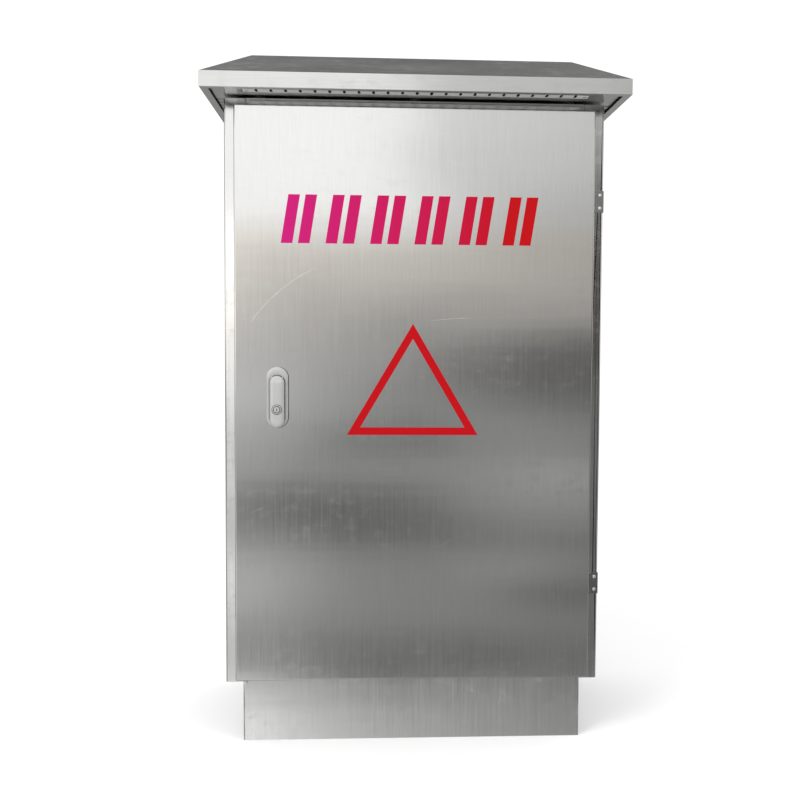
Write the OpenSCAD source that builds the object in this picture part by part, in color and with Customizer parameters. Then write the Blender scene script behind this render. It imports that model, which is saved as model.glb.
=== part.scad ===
// Roadside cabinet for a traffic signal controller: folded stainless body on a recessed plinth,
// hipped rain roof with a slotted soffit, one overlay door with butt hinges and a flush lever lock,
// and the control gear on a mounting plate inside.
// Millimetres. The origin is the centre of the anchor holes, on the floor. The door faces -Y.

/* [Body] */
// Width of the body across its sides
body_w = 700; // [600:1:900]
// Depth of the body from the door frame to the back
body_d = 380; // [320:1:500]
// Height of the body above the plinth
body_h = 1080; // [950:1:1400]
// Thickness of the body sheet
sheet = 1.5; // [1.2:0.1:2]
// Outside radius of the folds
fold_r = 3; // [2.2:0.1:5]
// Width of the frame beside the door opening
side_flange = 40; // [34:1:60]
// Height of the frame over the door opening
head_flange = 45; // [36:1:70]
// Height of the frame under the door opening
sill_flange = 36; // [30:1:60]
// How far the rain lip round the opening stands forward
lip_depth = 10; // [8:0.5:12]

/* [Plinth] */
// Height of the plinth
plinth_h = 112; // [80:1:200]
// How far the plinth stands in from each side of the body
plinth_inset = 32; // [10:1:60]
// Thickness of the plinth sheet
plinth_sheet = 2; // [1.5:0.1:4]
// Width of the plinth's inward foot and head flanges
plinth_flange = 42; // [36:1:60]
// Diameter of the anchor holes
anchor_d = 14; // [10:1:18]
// Anchor hole centre to the plinth's outer face
anchor_edge = 24; // [20:1:30]

/* [Roof] */
// Overhang of the roof in front of the door frame
roof_front = 88; // [70:1:120]
// Overhang of the roof at each side
roof_side = 31; // [28:1:60]
// Overhang of the roof behind the body
roof_rear = 31; // [28:1:60]
// Height of the upright fascia
fascia_h = 28; // [20:1:50]
// Rise of the roof from the fascia to the ridge
roof_rise = 92; // [60:1:140]
// How far each end of the ridge stands in from the roof's side
ridge_inset = 63; // [40:1:120]
// Thickness of the roof sheet
roof_sheet = 1.2; // [1:0.1:2]
// Width of the fascia's inward lip
fascia_lip = 14; // [10:1:18]
// Air gap between the body's top and the soffit
roof_gap = 4; // [3:0.5:8]
// Number of slots in the front vent strip
vent_count = 23; // [11:2:25]
// Spacing of the vent slots
vent_pitch = 26; // [16:1:27]
// Width of a vent slot
vent_slot_w = 5; // [3:0.5:8]
// Length of a vent slot in the front strip
vent_slot_l = 28; // [16:1:32]

/* [Door] */
// Frame left showing beside each edge of the door
door_side_margin = 20; // [18:0.5:24]
// Frame left showing over the door
door_top_margin = 15; // [8:1:24]
// Frame left showing under the door
door_bottom_margin = 8; // [4:1:14]
// Thickness of the door across its folds
door_t = 20; // [18:1:30]
// Gap between the door's folds and the frame
door_gap = 1; // [0.5:0.1:1.5]
// Width of the hem round the back of the door
door_hem = 12; // [8:1:13]
// Thickness of the printed marks on the door
mark_t = 0.2; // [0.1:0.1:0.5]

/* [Hinges] */
// Distance between the centres of the two hinges
hinge_span = 718; // [500:1:740]
// How far the pair of hinges sits above the middle of the door
hinge_rise = 6; // [-10:1:10]
// Length of a hinge
hinge_h = 40; // [30:1:80]
// Thickness of a hinge leaf
leaf_t = 1.5; // [1.2:0.1:1.8]
// Outside radius of the hinge knuckles
knuckle_r = 3; // [2.6:0.1:3.2]
// Radius of the hinge pin
pin_r = 1.5; // [1.2:0.1:1.7]
// Spacing of the two screws in a hinge leaf
hinge_screw_pitch = 24; // [18:1:28]

/* [Lock] */
// Centre of the lock from the door's free edge
lock_inset = 78; // [70:1:95]
// Centre of the lock above the bottom of the body
lock_rise = 536; // [450:1:650]
// Width of the lock plate
lock_w = 40; // [36:1:46]
// Height of the lock plate
lock_h = 112; // [108:1:130]
// Thickness of the lock plate on the door
lock_t = 3; // [2:0.5:5]
// Width of the lever handle
handle_w = 27; // [24:1:30]
// Length of the lever handle
handle_l = 95; // [88:1:100]
// Thickness of the lever handle
handle_t = 9.5; // [9:0.5:11]
// Radius of the lock's spindle
spindle_r = 7; // [6:0.5:8]
// Radius of the release button
button_r = 8.5; // [7:0.5:9]
// Travel of the release button
button_travel = 2; // [1:0.5:2.5]
// Reach of the cam from the spindle's centre
cam_reach = 72; // [66:1:80]

/* [Mounting plate] */
// Width of the mounting plate
plate_w = 600; // [580:1:640]
// Height of the mounting plate
plate_h = 940; // [900:1:1000]
// Height of the mounting plate's foot above the bottom of the body
plate_rise = 70; // [60:1:90]
// Gap between the mounting plate's face and the body's back wall
plate_standoff = 38; // [25:1:60]
// Thickness of the mounting plate
plate_t = 2; // [1.5:0.5:3]
// Length of the two device rails
rail_l = 560; // [540:1:580]
// Height of the upper device rail above the bottom of the body
rail_upper = 885; // [860:1:900]
// Height of the lower device rail above the bottom of the body
rail_lower = 205; // [190:1:230]

/* [Controller] */
// Width of the controller's rack
rack_w = 440; // [430:1:460]
// Depth of the controller's rack
rack_d = 215; // [200:1:230]
// Height of the controller's rack
rack_h = 266; // [260:1:290]
// Height of the equipment shelf above the bottom of the body
shelf_rise = 400; // [360:1:440]
// Number of lamp driver cards
card_count = 6; // [4:1:6]
// Width of a lamp driver card
card_w = 55; // [40:1:55]
// Width of the processor card
cpu_w = 96; // [90:1:100]

/* [Clearances] */
// Radial clearance of a pin or spindle that turns
running = 0.05; // [0.02:0.01:0.09]
// Radial clearance of a screw in its hole
screw_clear = 0.2; // [0.1:0.05:0.5]
// Gap between loose neighbouring pieces
seat_gap = 0.3; // [0.2:0.05:0.5]

/* [Hidden] */
$fn = 40;
steel = [0.80, 0.80, 0.79];
steel_dark = [0.62, 0.62, 0.61];
zinc = [0.70, 0.71, 0.73];
chrome = [0.78, 0.78, 0.80];
red = [0.75, 0.04, 0.12];
black = [0.10, 0.10, 0.11];
cream = [0.86, 0.85, 0.80];
grey = [0.45, 0.46, 0.48];
copper = [0.72, 0.45, 0.25];

body_z0 = plinth_h;
body_z1 = body_z0 + body_h;
front = -body_d / 2;
back = body_d / 2;
open_x = body_w / 2 - side_flange;
open_z0 = body_z0 + sill_flange;
open_z1 = body_z1 - head_flange;
weld_flange = 15;

plinth_w = body_w - 2 * plinth_inset;
plinth_d = body_d;
anchor_x = plinth_w / 2 - anchor_edge;
anchor_y = plinth_d / 2 - anchor_edge;
joint_bolt_r = 4;
joint_bolt_x = [-plinth_w / 2 + 60, 0, plinth_w / 2 - 60];
joint_bolt_y = plinth_d / 2 - 22;

gland_open = [320, 170];
gland_size = [370, 220];
gland_t = 3;
gland_z = body_z0 + sheet;
grommet_r = 11;
grommet_x = [-100, 0, 100];
grommet_y = 42;
gland_screw_x = gland_size[0] / 2 - 12;
gland_screw_y = gland_size[1] / 2 - 12;

roof_x = body_w / 2 + roof_side;
roof_y0 = front - roof_front;
roof_y1 = back + roof_rear;
roof_mid = (roof_y0 + roof_y1) / 2;
fascia_z0 = body_z1 - 1;
fascia_z1 = fascia_z0 + fascia_h;
ridge_x = roof_x - ridge_inset;
ridge_z = fascia_z1 + roof_rise;
soffit_z = body_z1 + roof_gap;
soffit_hole = [body_w - 180, body_d - 150];
strip_t = 1;
strip_w = (vent_count - 1) * vent_pitch + 48;
strip_d = vent_slot_l + 10;
strip_y = roof_y0 + fascia_lip + 2 + strip_d / 2;
roof_bolt_r = 3;
rivet_r = 1.5;
rivet_head_r = 3;
rivet_head_t = 0.8;
rivet_tail = 1;
roof_bolt_x = [-body_w / 2 + 60, 0, body_w / 2 - 60];
roof_bolt_y = back - 42;
top_slot_l = 130;
top_slot_pitch = 22;

door_x = body_w / 2 - door_side_margin;
door_z0 = body_z0 + door_bottom_margin;
door_z1 = body_z1 - door_top_margin;
door_mid = (door_z0 + door_z1) / 2;
door_back = front - door_gap;
door_face = door_back - door_t;
door_inner = door_face + sheet;
door_fold_r = 2.5;
gasket_w = 12;
stiffener_x = 150;
stiffener_w = 40;
stiffener_d = 15;
stiffener_t = 1.2;
stiffener_l = open_z1 - open_z0 - 60;
pocket_w = 2 * stiffener_x + stiffener_w;
pocket_h = 220;
pocket_d = 30;
pocket_z = door_z0 + 180;
pocket_t = 1.2;

sign_x = -10;
bar_row_z = door_z1 - 204;
bar_pitch = 81;
bar_step = 31;
bar_h = 88;
bar_w = 21;
bar_slant = 14;
triangle_x = -4;
triangle_z = door_z0 + 459;
triangle_w = 242;
triangle_h = 205;
triangle_stroke = 14;

hinge_x = door_x + knuckle_r + 1;
hinge_y = front - leaf_t - knuckle_r + 0.3;
hinge_zs = [for (s = [-1, 1]) door_mid + hinge_rise + s * hinge_span / 2];
knuckle_l = (hinge_h - 2 * seat_gap) / 3;
leaf_end = body_w / 2 + 0.8;
frame_screw_x = hinge_x + knuckle_r + 6.5;
door_screw_y = hinge_y - knuckle_r - 7;
hinge_screw_r = 2;

lock_x = -door_x + lock_inset;
lock_z = body_z0 + lock_rise;
lock_plate_y = door_face - lock_t;
handle_z0 = lock_z - lock_h / 2 + 1;
handle_z1 = handle_z0 + handle_l;
handle_back = lock_plate_y - 0.5;
handle_face = handle_back - handle_t;
tilt_r = 4;
tilt_y = handle_back - tilt_r;
tilt_z = handle_z1 - tilt_r;
tilt_pin_r = 1.5;
spindle_z = handle_z1 - handle_w / 2;
ear_w = 10;
button_z = handle_z0 + 33;
button_h = 5.8;
button_proud = 0.9;
housing_w = 30;
housing_h = 84;
housing_back = door_back;
cam_t = 3;
cam_w = 20;
cam_y = front + sheet + 2;
cam_square = 8;

panel_y = back - sheet - plate_standoff;
plate_z0 = body_z0 + plate_rise;
plate_fold = 12;
stud_tail = 16;
stud_head_t = 1.5;
stud_head_r = 7;
spacer_r = 8;
plate_nut_h = 6.5;
plate_washer_t = 1.6;
stud_r = 4;
stud_x = plate_w / 2 - 25;
stud_zs = [plate_z0 + 40, plate_z0 + plate_h - 40];
rail_depth = 7.5;
rail_face = panel_y - rail_depth;
rail_t = 1;
rail_h = 35;
screw_r = 2.5;
screw_head_r = 4.6;
screw_head_t = 2.4;
rail_screw_x = rail_l / 2 - 20;

module_w = 18;
module_h = 85;
nose_h = 45;
module_gap = 0.4;
upper_z = body_z0 + rail_upper;
lower_z = body_z0 + rail_lower;
main_x = -rail_l / 2 + 60;
branch_x = [for (i = [0:2]) main_x + 1.5 * module_w + 6 + i * (module_w + module_gap)];
arrester_x = branch_x[2] + 1.5 * module_w + 12;
supply_x = rail_l / 2 - 90;
toggle_y = rail_face - 57.5;
toggle_r = 5.6;
toggle_w = 5.6;
lever_w = 4.8;
toggle_tilt = 22;

earth_screw_x = 110;
earth_z = lower_z - 85;
earth_size = [260, 5, 16];
earth_standoff = 12;

shelf_z = body_z0 + shelf_rise;
shelf_t = 2;
shelf_screw_x = rack_w / 2 - 30;
shelf_screw_z = shelf_z - 18;
rack_sheet = 1.5;
rack_y0 = panel_y - 3 - rack_d;
rack_z0 = shelf_z + shelf_t;
panel_t = 2.5;
cards_x0 = -rack_w / 2 + rack_sheet + 0.5;
key_r = 4;
key_travel = 1.5;
key_x = [for (i = [-1:1]) cards_x0 + cpu_w / 2 + i * 24];
key_z = rack_z0 + 92;

// A box from one corner to the other.
module span(a, b) {
    translate(a) cube([b[0] - a[0], b[1] - a[1], b[2] - a[2]]);
}

// A rectangle with round corners, about its centre.
module round_rect(w, d, r) {
    square([w - 2 * r, d], center = true);
    square([w, d - 2 * r], center = true);
    for (sx = [-1, 1], sy = [-1, 1])
        translate([sx * (w / 2 - r), sy * (d / 2 - r)]) circle(r);
}

// A flat ring of sheet between two rectangles, about the centre.
module frame_ring(w, d, r, inner_w, inner_d) {
    difference() {
        round_rect(w, d, r);
        square([inner_w, inner_d], center = true);
    }
}

// An upright cylinder whose axis runs along Y, from y0 to y1.
module rod_y(x, z, y0, y1, r) {
    translate([x, y1, z]) rotate([90, 0, 0]) cylinder(h = y1 - y0, r = r);
}

// A cylinder whose axis runs along X, from x0 to x1.
module rod_x(x0, x1, y, z, r) {
    translate([x0, y, z]) rotate([0, 90, 0]) cylinder(h = x1 - x0, r = r);
}

// A slot with round ends, cut through along Z, lying along Y.
module slot_y(w, l, h) {
    translate([-w / 2, -l / 2 + w / 2, 0]) cube([w, l - w, h]);
    for (s = [-1, 1])
        translate([0, s * (l / 2 - w / 2), 0]) cylinder(h = h, r = w / 2, $fn = 20);
}

// A hexagon bolt that hangs down from z = 0, with its nut under a clamped stack.
module bolt_and_nut(r, grip, tail) {
    cylinder(h = 1.3 * r, r = 1.85 * r, $fn = 6);
    translate([0, 0, -grip - tail]) cylinder(h = grip + tail, r = r);
    translate([0, 0, -grip - 1.6 * r]) difference() {
        cylinder(h = 1.6 * r, r = 1.85 * r, $fn = 6);
        translate([0, 0, -1]) cylinder(h = 1.6 * r + 2, r = r + running);
    }
}

// ---- plinth ----

module plinth() {
    color(steel) difference() {
        union() {
            linear_extrude(plinth_h)
                difference() {
                    round_rect(plinth_w, plinth_d, fold_r);
                    square([plinth_w - 2 * plinth_sheet, plinth_d - 2 * plinth_sheet],
                           center = true);
                }
            linear_extrude(plinth_sheet)
                frame_ring(plinth_w, plinth_d, fold_r,
                           plinth_w - 2 * plinth_flange, plinth_d - 2 * plinth_flange);
            translate([0, 0, plinth_h - plinth_sheet]) linear_extrude(plinth_sheet)
                frame_ring(plinth_w, plinth_d, fold_r,
                           plinth_w - 2 * plinth_flange, plinth_d - 2 * plinth_flange);
        }
        for (sx = [-1, 1], sy = [-1, 1])
            translate([sx * anchor_x, sy * anchor_y, -1]) cylinder(h = plinth_sheet + 2,
                                                                  r = anchor_d / 2);
        joint_bolt_holes(plinth_h - plinth_sheet - 1, plinth_sheet + 2);
    }
}

module joint_bolt_holes(z, h) {
    for (x = joint_bolt_x, s = [-1, 1])
        translate([x, s * joint_bolt_y, z]) cylinder(h = h, r = joint_bolt_r + screw_clear);
}

module plinth_bolts() {
    color(zinc)
        for (x = joint_bolt_x, s = [-1, 1])
            translate([x, s * joint_bolt_y, body_z0 + sheet])
                bolt_and_nut(joint_bolt_r, sheet + plinth_sheet, 12);
}

// ---- body ----

module body_shell() {
    color(steel) difference() {
        union() {
            translate([0, 0, body_z0]) linear_extrude(body_h) difference() {
                round_rect(body_w, body_d, fold_r);
                round_rect(body_w - 2 * sheet, body_d - 2 * sheet, fold_r - sheet);
                translate([-open_x, front - 1]) square([2 * open_x, sheet + 2]);
            }
            for (s = [-1, 1])
                span([s * (open_x + sheet / 2) - sheet / 2, front - lip_depth, open_z0 - sheet],
                     [s * (open_x + sheet / 2) + sheet / 2, front + sheet, open_z1 + sheet]);
        }
        for (z = hinge_zs, s = [-1, 1])
            rod_y(frame_screw_x, z + s * hinge_screw_pitch / 2, front - 1, front + sheet + 1,
                  hinge_screw_r + screw_clear);
    }
}

// The welded-in pan at the body's bottom or top: a plate, its upturned edges and the front
// member of the door frame. dir is 1 for the floor and -1 for the top.
module end_pan(z, dir, member) {
    inner_w = body_w - 2 * sheet;
    inner_d = body_d - 2 * sheet;
    z_low = dir > 0 ? z : z - sheet;
    z_edge = dir > 0 ? z : z - weld_flange;
    z_member = dir > 0 ? z : z - member;
    z_lip = dir > 0 ? z + member - sheet : z - member;
    translate([0, 0, z_low]) linear_extrude(sheet) round_rect(inner_w, inner_d, fold_r);
    translate([0, 0, z_edge]) linear_extrude(weld_flange) difference() {
        round_rect(inner_w, inner_d, fold_r);
        translate([0, -2]) square([inner_w - 2 * sheet, inner_d + 4 - 2 * sheet], center = true);
        translate([-open_x, -inner_d / 2 - 1]) square([2 * open_x, sheet + 2]);
    }
    span([-open_x, front, z_member], [open_x, front + sheet, z_member + member]);
    span([-open_x, front - lip_depth, z_lip], [open_x, front + sheet, z_lip + sheet]);
}

module floor_plate() {
    color(steel) difference() {
        end_pan(body_z0, 1, sill_flange);
        translate([-gland_open[0] / 2, -gland_open[1] / 2, body_z0 - 1])
            cube([gland_open[0], gland_open[1], sheet + 2]);
        joint_bolt_holes(body_z0 - 1, sheet + 2);
        gland_screw_places() translate([0, 0, body_z0 - 1])
            cylinder(h = sheet + 2, r = screw_r + screw_clear);
    }
}

module top_plate() {
    color(steel) difference() {
        end_pan(body_z1, -1, head_flange);
        for (i = [-5:5], s = [-1, 1])
            translate([i * top_slot_pitch, s * (top_slot_l / 2 + 8), body_z1 - sheet - 1])
                slot_y(8, top_slot_l - 30, sheet + 2);
        roof_bolt_places() translate([0, 0, body_z1 - sheet - 1])
            cylinder(h = sheet + 2, r = roof_bolt_r + screw_clear);
    }
}

// ---- cable entry ----

module gland_screw_places() {
    for (sx = [-1, 0, 1], sy = [-1, 1])
        translate([sx * gland_screw_x, sy * gland_screw_y, 0]) children();
}

module gland_plate() {
    color(zinc) difference() {
        translate([0, 0, gland_z]) linear_extrude(gland_t)
            round_rect(gland_size[0], gland_size[1], 5);
        for (x = grommet_x, s = [-1, 1])
            translate([x, s * grommet_y, gland_z - 1]) cylinder(h = gland_t + 2,
                                                                r = grommet_r + 5);
        gland_screw_places() translate([0, 0, gland_z - 1])
            cylinder(h = gland_t + 2, r = screw_r + screw_clear);
    }
}

module cable_grommets() {
    rim = 4;
    color(black)
        for (x = grommet_x, s = [-1, 1])
            translate([x, s * grommet_y, gland_z]) rotate_extrude() polygon([
                [grommet_r, -rim], [grommet_r + 7, -rim], [grommet_r + 8, -0.1],
                [grommet_r + 4.9, -0.1], [grommet_r + 4.9, gland_t + 0.1],
                [grommet_r + 8, gland_t + 0.1], [grommet_r + 5, gland_t + rim],
                [grommet_r, gland_t + rim]]);
}

// ---- roof ----

module roof_bolt_places() {
    for (x = roof_bolt_x, s = [-1, 1]) translate([x, s * roof_bolt_y, 0]) children();
}

module roof_spacers() {
    color(zinc) roof_bolt_places() translate([0, 0, body_z1]) difference() {
        cylinder(h = roof_gap, r = 11);
        translate([0, 0, -1]) cylinder(h = roof_gap + 2, r = roof_bolt_r + screw_clear);
    }
}

module roof_bolts() {
    color(zinc) roof_bolt_places() translate([0, 0, soffit_z + roof_sheet])
        bolt_and_nut(roof_bolt_r, roof_sheet + roof_gap + sheet, 9);
}

// How far a sheet of thickness t lowers the inside of an eave under a roof of that slope.
function eave_drop(t, slope) = t * (1 - sin(slope)) / cos(slope);

// The hipped block between the fascia's foot and the ridge, drawn in by t on every face.
module hip_block(t, z0) {
    front_slope = atan2(roof_rise, roof_mid - roof_y0);
    end_slope = atan2(roof_rise, ridge_inset);
    top = ridge_z - t / cos(front_slope);
    ridge = ridge_x + (ridge_z - top) / tan(end_slope) - t / sin(end_slope);
    eave_front = fascia_z1 - eave_drop(t, front_slope);
    eave_end = fascia_z1 - eave_drop(t, end_slope);
    intersection() {
        translate([0, roof_y1 - t, 0]) rotate([90, 0, 0]) linear_extrude(roof_y1 - roof_y0 - 2 * t)
            polygon([[-roof_x + t, z0], [roof_x - t, z0], [roof_x - t, eave_end],
                     [ridge, top], [-ridge, top], [-roof_x + t, eave_end]]);
        translate([-roof_x + t, 0, 0]) rotate([90, 0, 90]) linear_extrude(2 * (roof_x - t))
            polygon([[roof_y0 + t, z0], [roof_y1 - t, z0], [roof_y1 - t, eave_front],
                     [roof_mid, top], [roof_y0 + t, eave_front]]);
    }
}

module roof_canopy() {
    depth = roof_y1 - roof_y0;
    color(steel_dark) union() {
        difference() {
            hip_block(0, fascia_z0);
            hip_block(roof_sheet, fascia_z0 - 1);
        }
        translate([0, roof_mid, fascia_z0]) linear_extrude(roof_sheet) difference() {
            square([2 * roof_x, depth], center = true);
            square([2 * (roof_x - fascia_lip), depth - 2 * fascia_lip], center = true);
        }
    }
}

module roof_soffit() {
    w = 2 * (roof_x - roof_sheet - seat_gap);
    d = roof_y1 - roof_y0 - 2 * (roof_sheet + seat_gap);
    rim_z = fascia_z0 + roof_sheet;
    side_count = floor((body_d - 60) / vent_pitch);
    side_slot_x = body_w / 2 + (roof_side - fascia_lip) / 2;
    color(steel_dark) difference() {
        union() {
            translate([0, roof_mid, soffit_z]) linear_extrude(roof_sheet) square([w, d],
                                                                                 center = true);
            translate([0, roof_mid, rim_z]) linear_extrude(soffit_z - rim_z + roof_sheet)
                difference() {
                    square([w, d], center = true);
                    square([w - 2 * roof_sheet, d - 2 * roof_sheet], center = true);
                }
        }
        translate([-soffit_hole[0] / 2, -soffit_hole[1] / 2, soffit_z - 1])
            cube([soffit_hole[0], soffit_hole[1], roof_sheet + 2]);
        translate([-strip_w / 2 + 12, strip_y - strip_d / 2 + 4, soffit_z - 1])
            cube([strip_w - 24, strip_d - 8, roof_sheet + 2]);
        for (i = [0:side_count - 1], s = [-1, 1])
            translate([s * side_slot_x, front + 30 + i * vent_pitch, soffit_z - 1])
                rotate([0, 0, 90]) slot_y(vent_slot_w, 14, roof_sheet + 2);
        roof_bolt_places() translate([0, 0, soffit_z - 1])
            cylinder(h = roof_sheet + 2, r = roof_bolt_r + screw_clear);
        vent_rivet_places() translate([0, 0, soffit_z - 1])
            cylinder(h = roof_sheet + 2, r = rivet_r + screw_clear);
    }
}

module vent_rivet_places() {
    for (s = [-1, 1], t = [-1, 1])
        translate([s * (strip_w / 2 - 6), strip_y + t * (strip_d / 2 - 8), 0]) children();
}

module vent_strip() {
    color(steel) difference() {
        translate([-strip_w / 2, strip_y - strip_d / 2, soffit_z - strip_t])
            cube([strip_w, strip_d, strip_t]);
        for (i = [0:vent_count - 1])
            translate([(i - (vent_count - 1) / 2) * vent_pitch, strip_y, soffit_z - strip_t - 1])
                slot_y(vent_slot_w, vent_slot_l, strip_t + 2);
        vent_rivet_places() translate([0, 0, soffit_z - strip_t - 1])
            cylinder(h = strip_t + 2, r = rivet_r + screw_clear);
    }
}

module vent_rivets() {
    color(steel) vent_rivet_places() {
        translate([0, 0, soffit_z - strip_t - rivet_head_t])
            cylinder(h = rivet_head_t, r = rivet_head_r);
        translate([0, 0, soffit_z - strip_t])
            cylinder(h = strip_t + roof_sheet + rivet_tail, r = rivet_r);
        translate([0, 0, soffit_z + roof_sheet])
            cylinder(h = rivet_tail, r = 0.8 * rivet_head_r);
    }
}

// ---- door ----

// The outline of the door's outside, with its folded edges rounded.
module door_block() {
    h = door_z1 - door_z0;
    t = door_t;
    intersection() {
        translate([0, 0, door_z0]) linear_extrude(h) translate([0, door_back])
            round_front(2 * door_x, t);
        translate([-door_x, door_back, door_mid]) rotate([90, 0, 90]) linear_extrude(2 * door_x)
            rotate(90) round_side(h, t);
    }
}

// A strip of the given width and depth, square at y = 0 and rounded at y = -depth.
module round_front(w, depth) {
    r = door_fold_r;
    translate([-w / 2, -depth + r]) square([w, depth - r]);
    translate([-w / 2 + r, -depth]) square([w - 2 * r, depth]);
    for (s = [-1, 1]) translate([s * (w / 2 - r), -depth + r]) circle(r);
}

// The same strip turned so that its rounded side lies at x = +depth after the quarter turn.
module round_side(w, depth) {
    r = door_fold_r;
    translate([-w / 2, 0]) square([w, depth - r]);
    translate([-w / 2 + r, 0]) square([w - 2 * r, depth]);
    for (s = [-1, 1]) translate([s * (w / 2 - r), depth - r]) circle(r);
}

module door_panel() {
    color(steel) difference() {
        door_block();
        span([-door_x + sheet, door_inner, door_z0 + sheet],
             [door_x - sheet, door_back - sheet, door_z1 - sheet]);
        span([-door_x + sheet + door_hem, door_inner, door_z0 + sheet + door_hem],
             [door_x - sheet - door_hem, door_back + 1, door_z1 - sheet - door_hem]);
        span([lock_x - housing_w / 2 - seat_gap, door_face - 1,
              lock_z - housing_h / 2 - seat_gap],
             [lock_x + housing_w / 2 + seat_gap, door_inner + 1,
              lock_z + housing_h / 2 + seat_gap]);
        for (z = hinge_zs, s = [-1, 1])
            rod_x(door_x - sheet - 1, door_x + 1, door_screw_y, z + s * hinge_screw_pitch / 2,
                  hinge_screw_r + screw_clear);
    }
}

module door_stiffeners() {
    z0 = door_mid - stiffener_l / 2;
    wing = 8;
    color(zinc)
        for (s = [-1, 1]) translate([s * stiffener_x, door_inner, z0])
            linear_extrude(stiffener_l) difference() {
                union() {
                    translate([-stiffener_w / 2, 0]) square([stiffener_w, stiffener_d]);
                    translate([-stiffener_w / 2 - wing, 0])
                        square([stiffener_w + 2 * wing, stiffener_t]);
                }
                translate([-stiffener_w / 2 + stiffener_t, -1])
                    square([stiffener_w - 2 * stiffener_t, stiffener_d - stiffener_t + 1]);
            }
}

module door_gasket() {
    lip_x = open_x + sheet / 2;
    lip_zs = [open_z0 - sheet / 2, open_z1 + sheet / 2];
    depth = front - lip_depth - seat_gap - door_inner;
    color(black) translate([0, door_inner + depth, 0]) rotate([90, 0, 0]) linear_extrude(depth)
        translate([0, (lip_zs[0] + lip_zs[1]) / 2]) difference() {
            square([2 * lip_x + gasket_w, lip_zs[1] - lip_zs[0] + gasket_w], center = true);
            square([2 * lip_x - gasket_w, lip_zs[1] - lip_zs[0] - gasket_w], center = true);
        }
}

module document_pocket() {
    y0 = door_inner + stiffener_d;
    color(grey) difference() {
        span([-pocket_w / 2, y0, pocket_z], [pocket_w / 2, y0 + pocket_d, pocket_z + pocket_h]);
        span([-pocket_w / 2 + pocket_t, y0 + pocket_t, pocket_z + pocket_t],
             [pocket_w / 2 - pocket_t, y0 + pocket_d - pocket_t, pocket_z + pocket_h + 1]);
        span([-pocket_w / 2 + 60, y0 + pocket_d - pocket_t - 1, pocket_z + pocket_h - 45],
             [pocket_w / 2 - 60, y0 + pocket_d + 1, pocket_z + pocket_h + 1]);
    }
}

// Six pairs of slanted bars, evenly spaced across the upper door.
module sign_bars() {
    color(red)
        for (i = [0:5], j = [0, 1])
            translate([sign_x + (i - 2.5) * bar_pitch + (j - 1) * bar_step - 2, door_face,
                       bar_row_z - bar_h / 2])
                rotate([90, 0, 0]) linear_extrude(mark_t)
                    polygon([[0, 0], [bar_w, 0], [bar_w + bar_slant, bar_h],
                             [bar_slant, bar_h]]);
}

// A plain triangle outline in the middle of the door.
module sign_triangle() {
    slope = atan2(triangle_h, triangle_w / 2);
    top_cut = triangle_stroke / cos(slope);
    inner_half = triangle_w / 2 - triangle_stroke / tan(slope / 2);
    color(red) translate([triangle_x, door_face, triangle_z]) rotate([90, 0, 0])
        linear_extrude(mark_t) difference() {
            polygon([[-triangle_w / 2, 0], [triangle_w / 2, 0], [0, triangle_h]]);
            polygon([[-inner_half, triangle_stroke], [inner_half, triangle_stroke],
                     [0, triangle_h - top_cut]]);
        }
}

// ---- hinges ----

// Height of a knuckle's foot: 0 is the lowest of the three.
function knuckle_z(z, i) = z - hinge_h / 2 + i * (knuckle_l + seat_gap);

module frame_leaf(z) {
    bore = pin_r + 0.02;
    web_x = hinge_x + knuckle_r + 0.4;
    color(chrome) difference() {
        union() {
            span([web_x, front - leaf_t, z - hinge_h / 2], [leaf_end, front, z + hinge_h / 2]);
            for (i = [0, 2])
                span([hinge_x, front - leaf_t, knuckle_z(z, i)],
                     [web_x + 1, front, knuckle_z(z, i) + knuckle_l]);
            for (i = [0, 2]) translate([hinge_x, hinge_y, knuckle_z(z, i)])
                cylinder(h = knuckle_l, r = knuckle_r);
        }
        translate([hinge_x, hinge_y, z - hinge_h]) cylinder(h = 2 * hinge_h, r = bore);
        for (s = [-1, 1])
            rod_y(frame_screw_x, z + s * hinge_screw_pitch / 2, front - leaf_t - 1, front + 1,
                  hinge_screw_r + screw_clear);
    }
}

module door_leaf(z) {
    bore = pin_r + running;
    web_y = hinge_y - knuckle_r - 0.4;
    color(chrome) difference() {
        union() {
            span([door_x, door_face + door_fold_r, z - hinge_h / 2],
                 [door_x + leaf_t, web_y, z + hinge_h / 2]);
            span([door_x, web_y - 1, knuckle_z(z, 1)],
                 [door_x + leaf_t, hinge_y, knuckle_z(z, 1) + knuckle_l]);
            translate([hinge_x, hinge_y, knuckle_z(z, 1)])
                cylinder(h = knuckle_l, r = knuckle_r);
        }
        translate([hinge_x, hinge_y, z - hinge_h]) cylinder(h = 2 * hinge_h, r = bore);
        for (s = [-1, 1]) rod_x(door_x - 1, door_x + leaf_t + 1, door_screw_y,
                                z + s * hinge_screw_pitch / 2, hinge_screw_r + screw_clear);
    }
}

module hinge_pin(z) {
    color(zinc) translate([hinge_x, hinge_y, z - hinge_h / 2 - 0.5])
        cylinder(h = hinge_h + 1, r = pin_r);
}

module frame_hinge_screws() {
    head = 1.3;
    y = front - leaf_t;
    color(chrome)
        for (z = hinge_zs, s = [-1, 1]) {
            zs = z + s * hinge_screw_pitch / 2;
            difference() {
                rod_y(frame_screw_x, zs, y - head, y, 3.4);
                span([frame_screw_x - 3.4, y - head - 1, zs - 0.5],
                     [frame_screw_x + 3.4, y - head + 0.6, zs + 0.5]);
            }
            rod_y(frame_screw_x, zs, y, front + sheet + 6, hinge_screw_r);
        }
}

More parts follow.
